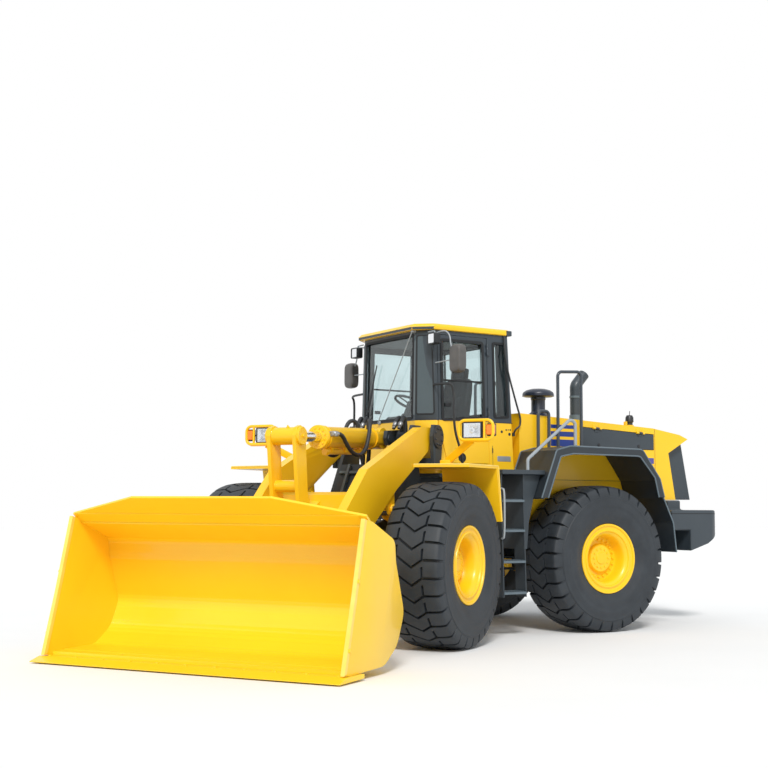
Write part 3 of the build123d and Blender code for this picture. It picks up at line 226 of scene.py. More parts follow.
groove_black = finish("black_rubber", (0.010, 0.012, 0.014), 0.7, grain=(200.0, 0.15))
chrome = finish("rod_chrome", (0.80, 0.82, 0.84), 0.12, metallic=1.0, grain=(900.0, 0.01),
                rough_spread=0.04)
steel = finish("bolt_steel", (0.28, 0.29, 0.30), 0.38, (0.20, 0.21, 0.22), scale=30.0, metallic=1.0)
cloth = finish("seat_cloth", (0.035, 0.042, 0.050), 0.85, (0.055, 0.062, 0.070), scale=60.0,
               grain=(900.0, 0.4))
plastic = finish("cabin_plastic", (0.050, 0.064, 0.070), 0.55, (0.062, 0.078, 0.084), scale=8.0,
                 grain=(700.0, 0.12))
blue = finish("stripe_blue", (0.006, 0.030, 0.210), 0.35, (0.008, 0.036, 0.235), scale=4.0)
pale_slate = finish("edge_slate", (0.120, 0.160, 0.190), 0.40, (0.090, 0.125, 0.150), scale=4.0,
                    coat=0.1)
black = finish("black_paint", (0.012, 0.014, 0.017), 0.42, (0.020, 0.023, 0.027), scale=6.0)
hose_rubber = finish("hose_rubber", (0.014, 0.016, 0.019), 0.55, (0.022, 0.025, 0.029), scale=20.0,
                     grain=(500.0, 0.2))
pale_grey = finish("rail_grey", (0.40, 0.44, 0.47), 0.42, (0.32, 0.36, 0.39), scale=9.0)
bright = finish("lamp_reflector", (0.86, 0.88, 0.90), 0.08, metallic=1.0, grain=(300.0, 0.01),
                rough_spread=0.03)
amber = finish("amber_lens", (1.0, 0.27, 0.010), 0.16, (0.95, 0.20, 0.008), scale=40.0, coat=0.5)
red = finish("red_lens", (0.62, 0.012, 0.010), 0.16, (0.50, 0.010, 0.010), scale=40.0, coat=0.5)
mirror_back = finish("mirror_shell", (0.105, 0.100, 0.095), 0.45, (0.075, 0.073, 0.072), scale=8.0,
                     grain=(600.0, 0.08))
silver = finish("blank_plate", (0.42, 0.45, 0.48), 0.35, (0.36, 0.39, 0.42), scale=9.0,
                metallic=0.6)
glass = pane("window_glass", (0.76, 0.86, 0.87))
clear = pane("lamp_glass", (0.96, 0.97, 0.98), 0.03)
print("finishes", len(bpy.data.materials))

# %% [markdown]
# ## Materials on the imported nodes
# Most nodes already have their true shape. They get a finish, and three modifiers that weld the
# loose triangles, clear flat faces of their diagonals and round each sharp edge by a few
# millimetres, so that edges catch the light as pressed and welded steel does.

# %% Rounded edges on a node
def dress(node, material, edge, angle=28):
    """A CAD node with a finish and, where edge isn't 0, rounded edges of that size in metres."""
    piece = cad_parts[node]
    for spot in piece.material_slots:
        spot.link = "OBJECT"
        spot.material = material
    if edge:
        weld = piece.modifiers.new("weld", "WELD")
        weld.merge_threshold = 1e-5
        flat = piece.modifiers.new("flat", "DECIMATE")
        flat.decimate_type = "DISSOLVE"
        flat.angle_limit = math.radians(0.5)
        round_off = piece.modifiers.new("round", "BEVEL")
        round_off.width = edge
        round_off.segments = 2
        round_off.limit_method = "ANGLE"
        round_off.angle_limit = math.radians(angle)
        round_off.harden_normals = True
    return piece


print("dress ready")

# %% [markdown]
# ## Which finish goes where
# One table from finish to nodes is easier to check than fifty separate lines. A second table holds
# the size of the rounded edge where it differs: wide on castings and pressed sheet, none on glass
# and rods.

# %% Finish every node
common_edge = 0.006
coats = {
    yellow: "hood cab_base cab_roof front_fenders front_lamps boom bell_crank tilt_link front_axle"
            " rear_axle lift_barrels tilt_barrel steer_barrel_left steer_barrel_right",
    bucket_yellow: "bucket cutting_edge",
    fender_slate: "rear_fenders",
    slate: "counterweight rear_grille platforms cab_frame air_cleaner exhaust_stack roof_lamps"
           " hood_door_left hood_door_right",
    door_paint: "cab_door_left cab_door_right",
    rail_paint: "handrails",
    mirror_back: "mirrors",
    frame_slate: "rear_frame front_frame tow_hitch side_tanks ladders engine_block seat_base",
    rubber: "tyre_front_left tyre_front_right tyre_rear_left tyre_rear_right",
    chrome: "lift_rods tilt_rod steer_rod_left steer_rod_right",
    glass: "cab_glass door_glass_left door_glass_right",
    cloth: "seat_cushion",
    plastic: "steering_console steering_wheel",
}
edge_of = {"cab_glass": 0, "door_glass_left": 0, "door_glass_right": 0, "lift_rods": 0,
           "tilt_rod": 0, "steer_rod_left": 0, "steer_rod_right": 0, "cab_roof": 0.015,
           "hood": 0.02, "counterweight": 0.02, "boom": 0.012, "bell_crank": 0.012,
           "front_fenders": 0.01, "steering_wheel": 0, "handrails": 0, "exhaust_stack": 0,
           "tow_hitch": 0.004, "ladders": 0.003, "mirrors": 0.03}
for material, names in coats.items():
    for node in names.split():
        dress(node, material, edge_of.get(node, common_edge))
for node in "rim_front_left rim_front_right rim_rear_left rim_rear_right".split():
    dress(node, yellow, 0.004)
print("nodes dressed", len(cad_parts))

# %% [markdown]
# ## The steered front half
# The machine stands with its front half turned about the centre hinge. Pieces of that half are
# easiest to lay out straight, along X, and are turned once, just before their mesh is made.

# %% Steering turn
steer = math.radians(31.3)


def steered(points):
    """Straight front half turned about the hinge: x' = x cos - y sin, y' = x sin + y cos."""
    points = np.asarray(points, float)
    turned = points.copy()
    turned[..., 0] = points[..., 0] * math.cos(steer) - points[..., 1] * math.sin(steer)
    turned[..., 1] = points[..., 0] * math.sin(steer) + points[..., 1] * math.cos(steer)
    return turned


print("front half turned by", round(math.degrees(steer), 1), "degrees")

# %% [markdown]
# ## Grid patches
# A piece is one or more patches. Each patch is a pair of arrays, points and faces, and join()
# stacks them, so a ring of twenty bolts is still one object. A grid patch numbers its points row by
# row and gets its faces from index arithmetic, which is far quicker than building faces by hand.

# %% Grid and join
def grid(points, wrap_rows=False, wrap_columns=False, caps=False):
    """Patch of rows x columns points; face (i, j) joins a point with its next row and column."""
    rows, columns = points.shape[:2]
    i = np.arange(rows if wrap_rows else rows - 1)[:, None]
    j = np.arange(columns if wrap_columns else columns - 1)[None, :]
    below, beside = (i + 1) % rows, (j + 1) % columns
    faces = np.stack([i * columns + j, i * columns + beside, below * columns + beside,
                      below * columns + j], -1)
    faces = [tuple(f) for f in faces.reshape(-1, 4).tolist()]
    if caps:
        faces.append(tuple(range(columns - 1, -1, -1)))
        faces.append(tuple(range((rows - 1) * columns, rows * columns)))
    return points.reshape(-1, 3), faces


def join(patches):
    """All patches as one: points stacked, face numbers moved up by the points before them."""
    points, faces, start = [], [], 0
    for some_points, some_faces in patches:
        points.append(some_points)
        faces.extend(tuple(n + start for n in f) for f in some_faces)
        start += len(some_points)
    return np.concatenate(points), faces


print("a grid of 3 x 4 points has", len(grid(np.zeros((3, 4, 3)))[1]), "faces")

# %% [markdown]
# ## From patches to an object
# Blender takes the stacked arrays in one call. The normals are then turned outwards, edges sharper
# than an angle are kept crisp, and the piece is tied to the body that it moves with.

# %% Make a piece
def piece(name, patches, material, body, slot, stands_for=(), sharp=32, front=False):
    """One object from patches, its normals outwards, riding on a body."""
    points, faces = join(patches)
    if front:
        points = steered(points)
    mesh = bpy.data.meshes.new(name)
    mesh.from_pydata(points.tolist(), [], faces)
    made = bmesh.new()
    made.from_mesh(mesh)
    bmesh.ops.remove_doubles(made, verts=made.verts, dist=1e-6)
    bmesh.ops.recalc_face_normals(made, faces=made.faces)
    made.to_mesh(mesh)
    made.free()
    mesh.shade_smooth()
    mesh.set_sharp_from_angle(angle=math.radians(sharp))
    mesh.materials.append(material)
    thing = bpy.data.objects.new(name, mesh)
    bpy.context.collection.objects.link(thing)
    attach(thing, body)
    if stands_for:
        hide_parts(*stands_for)
    return thing


print("piece maker ready")

# %% [markdown]
# ## Turned forms
# Rims, caps, glands and stacks are all made on a lathe, in life and here: a profile of radius and
# height is carried round an axis. The Spin tool does the same, but an array gives exact sides and
# no doubled seam.

# %% Lathe
def turned(profile, sides, place, axis=(0, 1, 0), closed=True):
    """Surface of revolution: place + axis * height + radius * (cos a * first + sin a * second)."""
    axis = Vector(axis).normalized()
    first = axis.orthogonal().normalized()
    second = axis.cross(first)
    profile = np.asarray(profile, float)
    angle = np.linspace(0, 2 * np.pi, sides, endpoint=False)
    ring = np.cos(angle)[:, None] * np.array(first) + np.sin(angle)[:, None] * np.array(second)
    points = (np.asarray(place, float) + profile[:, None, 1:2] * np.array(axis)
              + profile[:, None, 0:1] * ring[None, :, :])
    return grid(points, wrap_rows=closed, wrap_columns=True)


def lathe(profile, sides, place, axis=(0, 0, 1)):
    """Solid of revolution: the profile starts and ends near its axis and is closed there."""
    points, faces = turned(profile, sides, place, axis, closed=False)
    last = len(points) - sides
    return points, faces + [tuple(range(sides - 1, -1, -1)), tuple(range(last, last + sides))]


print("lathe ready")

# %% [markdown]
# ## Flat outlines
# Plates start as a flat outline whose corners become arcs. Blender's Bevel could round them later,
# but here the number of faces is known beforehand, and each corner can have its own radius.

# %% Rounded outline
def rounded(outline, radius, steps=5):
    """Outline with each corner replaced by an arc; radius is one value or one for each corner."""
    outline = np.asarray(outline, float)
    radii = np.broadcast_to(radius, len(outline))
    result = []
    for before, corner, after, r in zip(np.roll(outline, 1, 0), outline, np.roll(outline, -1, 0),
                                        radii):
        to_before = (before - corner) / np.linalg.norm(before - corner)
        to_after = (after - corner) / np.linalg.norm(after - corner)
        half = math.acos(np.clip(to_before @ to_after, -1, 1)) / 2
        room = min(np.linalg.norm(before - corner), np.linalg.norm(after - corner)) * 0.48
        back = min(r / math.tan(half), room)
        if back < 1e-5 or half > 1.55:
            result.append(corner[None])
            continue
        r_here = back * math.tan(half)
        halfway = (to_before + to_after) / np.linalg.norm(to_before + to_after)
        middle = corner + halfway * r_here / math.sin(half)
        start = corner + to_before * back - middle
        end = corner + to_after * back - middle
        sweep = math.atan2(start[0] * end[1] - start[1] * end[0], start @ end)
        angle = np.linspace(0, sweep, steps + 1)[:, None]
        side = np.array([-start[1], start[0]])
        result.append(middle + np.cos(angle) * start + np.sin(angle) * side)
    return np.concatenate(result)


print("a rounded square has", len(rounded([(0, 0), (1, 0), (1, 1), (0, 1)], 0.2)), "points")

# %% [markdown]
# ## Moving an outline inwards
# A chamfer needs a second outline, a little inside the first. Each point moves along the mean of
# the two normals beside it, a little farther at a sharp corner, so that all edges keep the same
# distance.

# %% Inset
def inset(outline, amount):
    """Outline moved inwards: point + mean normal * amount / cosine between mean and edge normal."""
    ahead_edge = np.roll(outline, -1, 0) - outline
    area = np.sum(outline[:, 0] * np.roll(outline[:, 1], -1)
                  - np.roll(outline[:, 0], -1) * outline[:, 1])
    inward = np.stack([-ahead_edge[:, 1], ahead_edge[:, 0]], 1) * np.sign(area)
    inward /= np.maximum(np.linalg.norm(inward, axis=1, keepdims=True), 1e-9)
    mean = inward + np.roll(inward, 1, 0)
    mean /= np.maximum(np.linalg.norm(mean, axis=1, keepdims=True), 1e-9)
    reach = amount / np.maximum(np.sum(mean * inward, axis=1, keepdims=True), 0.4)
    return outline + mean * reach


square = np.array([(0, 0), (1, 0), (1, 1), (0, 1)], float)
print("a square of 1 m inset by 0.1 m:", inset(square, 0.1).round(2).tolist())

# %% [markdown]
# ## Plates and blocks
# Cut plate always has a small broken edge that catches the light. Four rings, inset, full, full and
# inset again, give a plate with that chamfer on both faces.

# %% Slab and box
def slab(outline, low, high, edge, across=1):
    """Plate between two values of one axis: rings of the inset, full, full and inset outline."""
    outline = np.asarray(outline, float)
    rings = [(inset(outline, edge), low), (outline, low + edge), (outline, high - edge),
             (inset(outline, edge), high)]
    others = [k for k in range(3) if k != across]
    points = np.zeros((4, len(outline), 3))
    for row, (ring, value) in enumerate(rings):
        points[row, :, others[0]], points[row, :, others[1]] = ring[:, 0], ring[:, 1]
        points[row, :, across] = value
    return grid(points, wrap_columns=True, caps=True)


def box(low, high, edge=0.004, corner=0.0, across=2):
    """Block between two corners: upright edges rounded by corner, the rest chamfered by edge."""
    a, b = [k for k in range(3) if k != across]
    outline = np.array([(low[a], low[b]), (high[a], low[b]), (high[a], high[b]), (low[a], high[b])],
                       float)
    if corner:
        outline = rounded(outline, corner)
    return slab(outline, low[across], high[across], edge, across)


print("slab ready")

# %% [markdown]
# ## Paths
# Rails, pipes and hoses follow a path of straight runs. Each corner between two runs becomes a
# short curve that starts and ends on them, as a bender leaves it.

# %% Smooth path
def smooth_path(points, steps=8, bend=0.35):
    """Path with curved corners: (1 - t)^2 start + 2 t (1 - t) corner + t^2 end at each of them."""
    points = np.asarray(points, float)
    path = [points[:1]]
    t = np.linspace(0, 1, steps)[:, None]
    for before, corner, after in zip(points[:-2], points[1:-1], points[2:]):
        start = corner + (before - corner) * bend
        end = corner + (after - corner) * bend
        path.append((1 - t) ** 2 * start + 2 * t * (1 - t) * corner + t ** 2 * end)
    path.append(points[-1:])
    return np.concatenate(path)


print("a path with one corner has", len(smooth_path([(0, 0, 0), (1, 0, 0), (1, 1, 0)])), "points")

# %% [markdown]
# ## Tubes and bolts
# A tube is a circle carried along a path. A curve object with a bevel would look the same, but a
# mesh keeps every piece of one kind. A bolt is a turned form with six sides.

# %% Tube and bolt
def tube(path, radius, sides=12):
    """Round tube: point = path + radius * (cos a * side + sin a * other), carried without twist."""
    path = np.asarray(path, float)
    tangent = np.gradient(path, axis=0)
    tangent /= np.linalg.norm(tangent, axis=1, keepdims=True)
    side = np.array(Vector(tangent[0]).orthogonal().normalized())
    sides_of = []
    for t in tangent:
        side = side - t * (side @ t)
        side /= np.linalg.norm(side)
        sides_of.append(side)
    side = np.array(sides_of)
    other = np.cross(tangent, side)
    angle = np.linspace(0, 2 * np.pi, sides, endpoint=False)
    radius = np.broadcast_to(radius, len(path))[:, None, None]
    points = path[:, None] + radius * (np.cos(angle)[None, :, None] * side[:, None]
                                       + np.sin(angle)[None, :, None] * other[:, None])
    return grid(points, wrap_columns=True, caps=True)


def bolt(place, axis, across=0.03, height=0.014):
    """Hexagon head with a chamfered top: six-sided rings at three heights."""
    r = across / 2
    return lathe([(r, -0.002), (r, height * 0.75), (r * 0.82, height)], 6, place, axis)


print("a bolt has", len(bolt((0, 0, 0), (0, 0, 1))[1]), "faces")

# %% [markdown]
# ## Tyres
# A loader tyre has deep blocks: a groove runs straight in from each shoulder, then zigzags across
# the crown, and a short side groove parts the shoulder block from the centre block. Boolean cuts
# would be slow and leave rough faces. Instead the whole tyre is one grid whose columns lean with
# the groove, so that every groove wall lies on a grid line and stays crisp with few faces.

# %% Tread tables
pitches = 30
# y and radius of the blocks' surface, y and radius of the groove's floor, over half the section
# from the middle
tread_rows = np.array([
    (0.000, 0.840, 0.000, 0.806), (0.030, 0.840, 0.030, 0.806), (0.080, 0.840, 0.080, 0.805),
    (0.128, 0.839, 0.128, 0.804), (0.133, 0.839, 0.133, 0.804), (0.147, 0.838, 0.147, 0.803),
    (0.152, 0.838, 0.152, 0.803), (0.205, 0.834, 0.205, 0.798), (0.260, 0.826, 0.262, 0.786),
    (0.292, 0.816, 0.290, 0.770), (0.302, 0.806, 0.300, 0.758), (0.314, 0.762, 0.308, 0.738),
    (0.319, 0.728, 0.314, 0.722), (0.3195, 0.718, 0.3195, 0.718),
])
# y and radius of the sidewall from the blocks down to the bead: a rib, the bulge, a fine ring, the
# rim strip
wall_rows = np.array([(0.3205, 0.712), (0.3275, 0.706), (0.3290, 0.698), (0.3265, 0.690),
                      (0.3300, 0.660), (0.3335, 0.620), (0.3340, 0.600), (0.3318, 0.596),
                      (0.3322, 0.560), (0.3290, 0.530), (0.3230, 0.503), (0.3190, 0.494),
                      (0.3080, 0.468), (0.2960, 0.440), (0.2870, 0.415), (0.2790, 0.402),
                      (0.2600, 0.396),])
# share of a pitch by which the groove has moved round the tyre, at each y from the outer to the
# inner shoulder
lean_y = np.array([-0.34, -0.30, -0.150, -0.130, 0.030, 0.130, 0.150, 0.30, 0.34])
lean_share = np.array([-0.12, -0.12, -0.17, -0.22, 0.40, 0.02, -0.02, 0.00, 0.00])
# columns in one pitch: place in the pitch and how deep the main groove is there
column_phase = np.array([0.0, 0.025, 0.09, 0.145, 0.17, 0.30, 0.44, 0.465, 0.70, 0.90])
column_depth = np.array([0.0, 1.0, 1.0, 1.0, 0.0, 0.0, 0.0, 0.0, 0.0, 0.0])
column_stub = np.array([1.0, 1.0, 1.0, 1.0, 0.0, 0.0, 0.0, 1.0, 1.0, 1.0])
# the side groove runs round between these distances from the middle
stub_from, stub_to = 0.130, 0.150
print("columns round the tyre", pitches * len(column_phase))

# %% [markdown]
# ## From the tables to a tyre
# Depth says for each grid point whether it lies on a block, 0, or on a groove's floor, 1. Mixing
# the two radii by depth gives the whole surface at once, and the lean turns the columns so that the
# grooves zigzag.

# %% Tyre surface
def tyre_grid(side):
    """Whole tyre about the origin: mix(block, floor, depth), turned by pitch angle + lean(y)."""
    half = np.concatenate([tread_rows, np.concatenate([wall_rows, wall_rows], 1)])
    mirrored = half[:0:-1] * np.array([-1, 1, -1, 1])
    rows = np.concatenate([mirrored, half])
    y_block, r_block, y_floor, r_floor = rows.T
    stub_row = (np.abs(y_block) > stub_from) & (np.abs(y_block) < stub_to)
    depth = np.maximum(column_depth[None, :], column_stub[None, :] * stub_row[:, None])
    depth = np.tile(depth, (1, pitches))
    phase = (np.arange(pitches)[:, None] + column_phase[None, :]).ravel()
    lean = np.interp(y_block, lean_y, lean_share)
    angle = 2 * np.pi / pitches * (phase[None, :] + lean[:, None])
    y = (1 - depth) * y_block[:, None] + depth * y_floor[:, None]
    r = (1 - depth) * r_block[:, None] + depth * r_floor[:, None]
    return np.stack([r * np.sin(angle), side * y, r * np.cos(angle)], -1)


print("tyre grid", tyre_grid(1).shape)

# %% [markdown]
# ## Four tyres
# The same surface serves all four wheels. On the right side its Y is mirrored, so that the grooves
# lean the right way on both sides, and the two front tyres turn with their half.

# %% Put the tyres on their wheels
wheels = {"front_left": 1, "front_right": -1, "rear_left": 1, "rear_right": -1}
axle_height, half_base, half_tread = 0.840, 1.725, 1.150


def wheel_place(name):
    """Middle of a wheel in its own half, and whether that half is the steered one."""
    is_front = name.startswith("front")
    return np.array((half_base if is_front else -half_base, wheels[name] * half_tread,
                     axle_height)), is_front


for name, side in wheels.items():
    place, is_front = wheel_place(name)
    surface = tyre_grid(side) + place
    patch = grid(surface, wrap_rows=True, wrap_columns=True)
    piece(f"tread_tyre_{name}", [patch], rubber, f"wheel_{name}", "tyre_rubber", (f"tyre_{name}",),
          front=is_front)
print("tyres", len(wheels))

# %% [markdown]
# ## Wheel rims
# A rim is a deep painted bowl: outer flange, lock ring, a smooth wall that runs in to the hub, and
# bolts round the planetary cover. It is turned from one closed profile, as on a lathe, and the
# bolts are six-sided prisms.

# %% Rims
# radius and distance from the wheel's middle towards the outside
rim_profile = np.array([(0.396, 0.272), (0.400, 0.280), (0.397, 0.289), (0.388, 0.290),
                        (0.376, 0.286), (0.370, 0.274), (0.352, 0.268), (0.338, 0.270),
                        (0.334, 0.280), (0.322, 0.283), (0.312, 0.278), (0.306, 0.266),
                        (0.290, 0.258), (0.272, 0.240), (0.262, 0.212), (0.257, 0.150),
                        (0.252, 0.108), (0.246, 0.100), (0.175, 0.098), (0.168, 0.102),
                        (0.160, 0.135), (0.150, 0.146), (0.070, 0.150), (0.064, 0.158),
                        (0.012, 0.160),])
rim_back = np.array([(0.012, 0.045), (0.250, 0.045), (0.296, 0.060), (0.306, 0.200),
                     (0.309, -0.283), (0.391, -0.290), (0.398, -0.284), (0.394, -0.275),
                     (0.324, -0.268), (0.320, 0.268)])
hub_bolts, cover_bolts = 20, 12
hub_circle, cover_circle = 0.212, 0.110  # radii of the two rings of bolts


def ring_places(count, radius, y, centre, side):
    """Places round an axle: centre + radius (sin a, cos a) in X and Z, at y outwards."""
    angle = np.arange(count) * 2 * np.pi / count
    return np.stack([centre[0] + radius * np.sin(angle), np.full(count, centre[1] + side * y),
                     centre[2] + radius * np.cos(angle)], 1)


for name, side in wheels.items():
    place, is_front = wheel_place(name)
    profile = np.concatenate([rim_profile[::-1], rim_back[::-1]])
    patches = [lathe(profile * (1, side), 72, place, (0, 1, 0))]
    patches += [bolt(p, (0, side, 0), 0.030, 0.020)
                for p in ring_places(hub_bolts, hub_circle, 0.098, place, side)]
    patches += [bolt(p, (0, side, 0), 0.020, 0.010)
                for p in ring_places(cover_bolts, cover_circle, 0.149, place, side)]
    piece(f"turned_rim_{name}", patches, yellow, f"wheel_{name}", "yellow_paint", (f"rim_{name}",),
          front=is_front)
print("bolts on each rim", hub_bolts + cover_bolts)

# %% [markdown]
# ## Pin covers and the linkage
# Each joint of the arm turns on a pin whose end is held by a cover with bolts. Such a cover is a
# short turned cap. A cylinder primitive would have hard edges; a turned profile gives the soft
# shoulder in the same few faces.

# %% Cover of a pin
def cover(centre, y, side, radius, bolts=6, height=0.018, head=0.024):
    """Turned cap on a pin's end, facing outwards along Y, with bolts at 0.7 of its radius."""
    patches = [lathe([(radius, 0), (radius, height * 0.6), (radius * 0.94, height), (0.01, height)],
                     40, (centre[0], side * y, centre[1]), (0, side, 0))]
    for a in np.arange(bolts) * 2 * np.pi / max(bolts, 1) + 0.3:
        place = (centre[0] + 0.7 * radius * np.sin(a), side * (y + height), centre[1]
                 + 0.7 * radius * np.cos(a))
        patches.append(bolt(place, (0, side, 0), head, head * 0.5))
    return patches


print("patches in a cover", len(cover((0, 0), 0, 1, 0.1)))

# %% [markdown]
# ## Covers on every pin
# Pins come in pairs, left and right, so a row of the table makes both. The wide black cap holds the
# boom's pivot on the tower; the others are yellow and sit on the arms, the crank and the bucket's
# lugs.

# %% Pin covers
# name, centre in X and Z, y of the face, outward (1) or inward (-1), radius, bolts, body, finish
pin_rows = [
    ("boom_pivot", (0.770, 2.200), 0.640, 1, 0.132, 8, "front_frame", black),
    ("lift_base", (0.330, 0.950), 0.575, 1, 0.050, 3, "front_frame", frame_slate),
    ("lift_eye", (1.750, 1.400), 0.5745, 1, 0.052, 3, "boom", yellow),
    ("bucket_pin_out", (3.290, 0.400), 0.626, 1, 0.074, 4, "bucket", bucket_yellow),
    ("bucket_pin_in", (3.290, 0.400), 0.434, -1, 0.074, 4, "bucket", bucket_yellow),
    ("crank_pivot", (2.764, 1.200), 0.1775, 1, 0.064, 3, "boom", yellow),
    ("crank_foot", (2.900, 0.516), 0.1775, 1, 0.058, 3, "bell_crank", yellow),
]
for name, centre, y, way, radius, bolts, body, coat in pin_rows:
    patches = []
    for side in (1, -1):
        if way > 0:
            patches += cover(centre, y, side, radius, bolts)
        else:
            patches += cover(centre, -y, -side, radius, bolts)
    piece(f"cover_{name}", patches, coat, body, "yellow_paint" if coat is yellow else "dark_paint",
          front=True)

print("pin covers", len(pin_rows) * 2)

# %% [markdown]
# ## Head of the bell crank
# The tilt rod ends in an eye between the crank's two plates. A sleeve fills the gap from plate to
# plate, a round boss stands on each outer side, and a small nipple takes the grease. All are turned
# from short profiles.

# %% Crank head
crank_head = (2.950, 0, 2.110)
patches = []
for side in (1, -1):
    patches += [lathe([(0.092, 0), (0.092, 0.020), (0.084, 0.028), (0.01, 0.028)], 48,
                      (crank_head[0], side * 0.166, crank_head[2]), (0, side, 0)),
                bolt((crank_head[0], side * 0.194, crank_head[2]), (0, side, 0), 0.036, 0.016)]
piece("crank_head_bosses", patches, yellow, "bell_crank", "yellow_paint", front=True)
eye = lathe([(0.050, -0.1255), (0.083, -0.1255), (0.0875, -0.1210), (0.0875, 0.1210),
             (0.083, 0.1255), (0.050, 0.1255)], 56, crank_head, (0, 1, 0))
nipple = lathe([(0.016, 0.084), (0.016, 0.096), (0.010, 0.100), (0.006, 0.112), (0.002, 0.112)], 12,
               (2.950, 0.040, 2.110), (0.35, 0, 0.94))
piece("rod_eye_sleeve", [eye, nipple], yellow, "tilt_rod", "yellow_paint", front=True)
print("crank head at", crank_head)

# %% [markdown]
# ## Cylinders
# A cylinder's end cap, or gland, is a thick ring held by a circle of bolts, and the barrel carries
# a steel pipe for the oil. The gland is turned about the cylinder's own line, and its bolts are
# placed on a circle square to it.

# %% Lines and glands
tilt_from, tilt_to = np.array((1.000, 0, 2.180)), np.array(crank_head)
lift_from, lift_to = np.array((0.330, 0, 0.950)), np.array((1.750, 0, 1.400))


def line_of(start, end):
    """Unit direction of a cylinder, and the one square to it in the upright plane."""
    ahead_line = (end - start) / np.linalg.norm(end - start)
    return ahead_line, np.array((-ahead_line[2], 0, ahead_line[0]))


def gland(start, direction, reach, bore, outer, length, count, head, offset=(0, 0, 0)):
    """Ring of a closed section turned about the cylinder's line, with bolts on its front face."""
    place = np.asarray(start) + np.asarray(offset) + direction * reach
    section = [(bore, 0), (outer * 0.96, 0), (outer, 0.006), (outer, length - 0.006),
               (outer * 0.97, length), (bore + 0.012, length), (bore + 0.004, length + 0.010),
               (bore, length + 0.010)]
    patches = [turned(section, 48, place, direction)]
    first = np.array(Vector(direction).orthogonal().normalized())
    second = np.cross(direction, first)
    for a in np.arange(count) * 2 * np.pi / count:
        outward = np.cos(a) * first + np.sin(a) * second
        spot = place + direction * length + (bore + outer) * 0.52 * outward
        patches.append(bolt(spot, direction, head, head * 0.6))
    return patches


print("tilt cylinder is", round(float(np.linalg.norm(tilt_to - tilt_from)), 3), "m from pin to pin")

# %% [markdown]
# ## Tilt cylinder
# The big cylinder above the boom has a gland with twelve bolts, two raised rings, and below it a
# guard pipe on three clamps that carries the oil to the far end.

# %% Tilt cylinder trim
tilt_ahead, tilt_up = line_of(tilt_from, tilt_to)
piece("tilt_gland", gland(tilt_from, tilt_ahead, 1.276, 0.0545, 0.124, 0.058, 12, 0.020), yellow,
      "tilt_barrel", "yellow_paint", front=True)
patches = []
for reach, half, r in ((0.20, 0.014, 0.122), (1.225, 0.016, 0.118)):
    patches.append(turned([(0.105, -half), (r, -half), (r + 0.003, 0), (r, half), (0.105, half)],
                          48, tilt_from + tilt_ahead * reach, tilt_ahead))
piece("tilt_barrel_rings", patches, yellow, "tilt_barrel", "yellow_paint", front=True)

pipe_drop = 0.150  # from the cylinder's line down to the guard pipe
pipes, fittings = [], []
below = tilt_from - tilt_up * pipe_drop
pipes += [tube([below + tilt_ahead * 0.30, below + tilt_ahead * 1.16], 0.030, 24),
          lathe([(0.040, 0), (0.040, 0.05), (0.034, 0.06), (0.01, 0.06)], 24, below
                + tilt_ahead * 1.13, tilt_ahead),
          tube([below + tilt_ahead * 1.10, below + tilt_ahead * 1.10 + tilt_up * 0.06], 0.028, 16)]
for reach in (0.45, 0.80, 1.10):
    low = tilt_from + tilt_ahead * reach - tilt_up * pipe_drop
    fittings.append(box(low - (0.02, 0.045, 0.012), low + (0.02, 0.045, 0.045), 0.004))
piece("tilt_pipes", pipes, yellow, "tilt_barrel", "yellow_paint", front=True)
piece("tilt_pipe_clamps", fittings, yellow, "tilt_barrel", "yellow_paint", front=True)
print("clamps", len(fittings))

# %% [markdown]
# ## Lift cylinders
# The two lift cylinders get the same gland in a smaller size. Their steel pipe runs below the
# barrel, because above it the pipe would strike the tower as the boom rises.

# %% Lift cylinder trim
patches, pipes, clamps = [], [], []
lift_ahead, lift_up = line_of(lift_from, lift_to)
for side in (1, -1):
    offset = np.array((0, side * 0.485, 0))
    patches += gland(lift_from, lift_ahead, 1.346, 0.0465, 0.093, 0.056, 10, 0.018, offset)
    route = [lift_from + offset + lift_ahead * along - lift_up * down
             for along, down in ((0.30, 0.075), (0.32, 0.105), (1.24, 0.105), (1.27, 0.075))]
    pipes.append(tube(smooth_path(route, bend=0.5), 0.012))
    for reach in (0.45, 0.95):
        spot = lift_from + offset + lift_ahead * reach
        clamps.append(turned([(0.079, -0.012), (0.087, -0.012), (0.087, 0.012), (0.079, 0.012)], 40,
                             spot, lift_ahead))
        block_at = spot - lift_up * 0.10
        clamps.append(box(block_at - (0.022, 0.024, 0.022), block_at + (0.022, 0.024, 0.022),
                          0.004))
piece("lift_glands", patches, yellow, "lift_barrels", "yellow_paint", front=True)
piece("lift_pipes", pipes, yellow, "lift_barrels", "yellow_paint", front=True)
piece("lift_pipe_clamps", clamps, yellow, "lift_barrels", "yellow_paint", front=True)
print("lift pipes", len(pipes), "clamps", len(clamps))

# %% [markdown]
# ## Hoses on the tower
# Four thick hoses leave steel fittings behind the tilt cylinder's foot, loop over and run down
# inside the tower. Both ends of each are fixed to the tower, so each is a smooth tube along a curve
# through a few points. The loops stay close to the tower, because the cab's front passes near them
# when the machine steers.

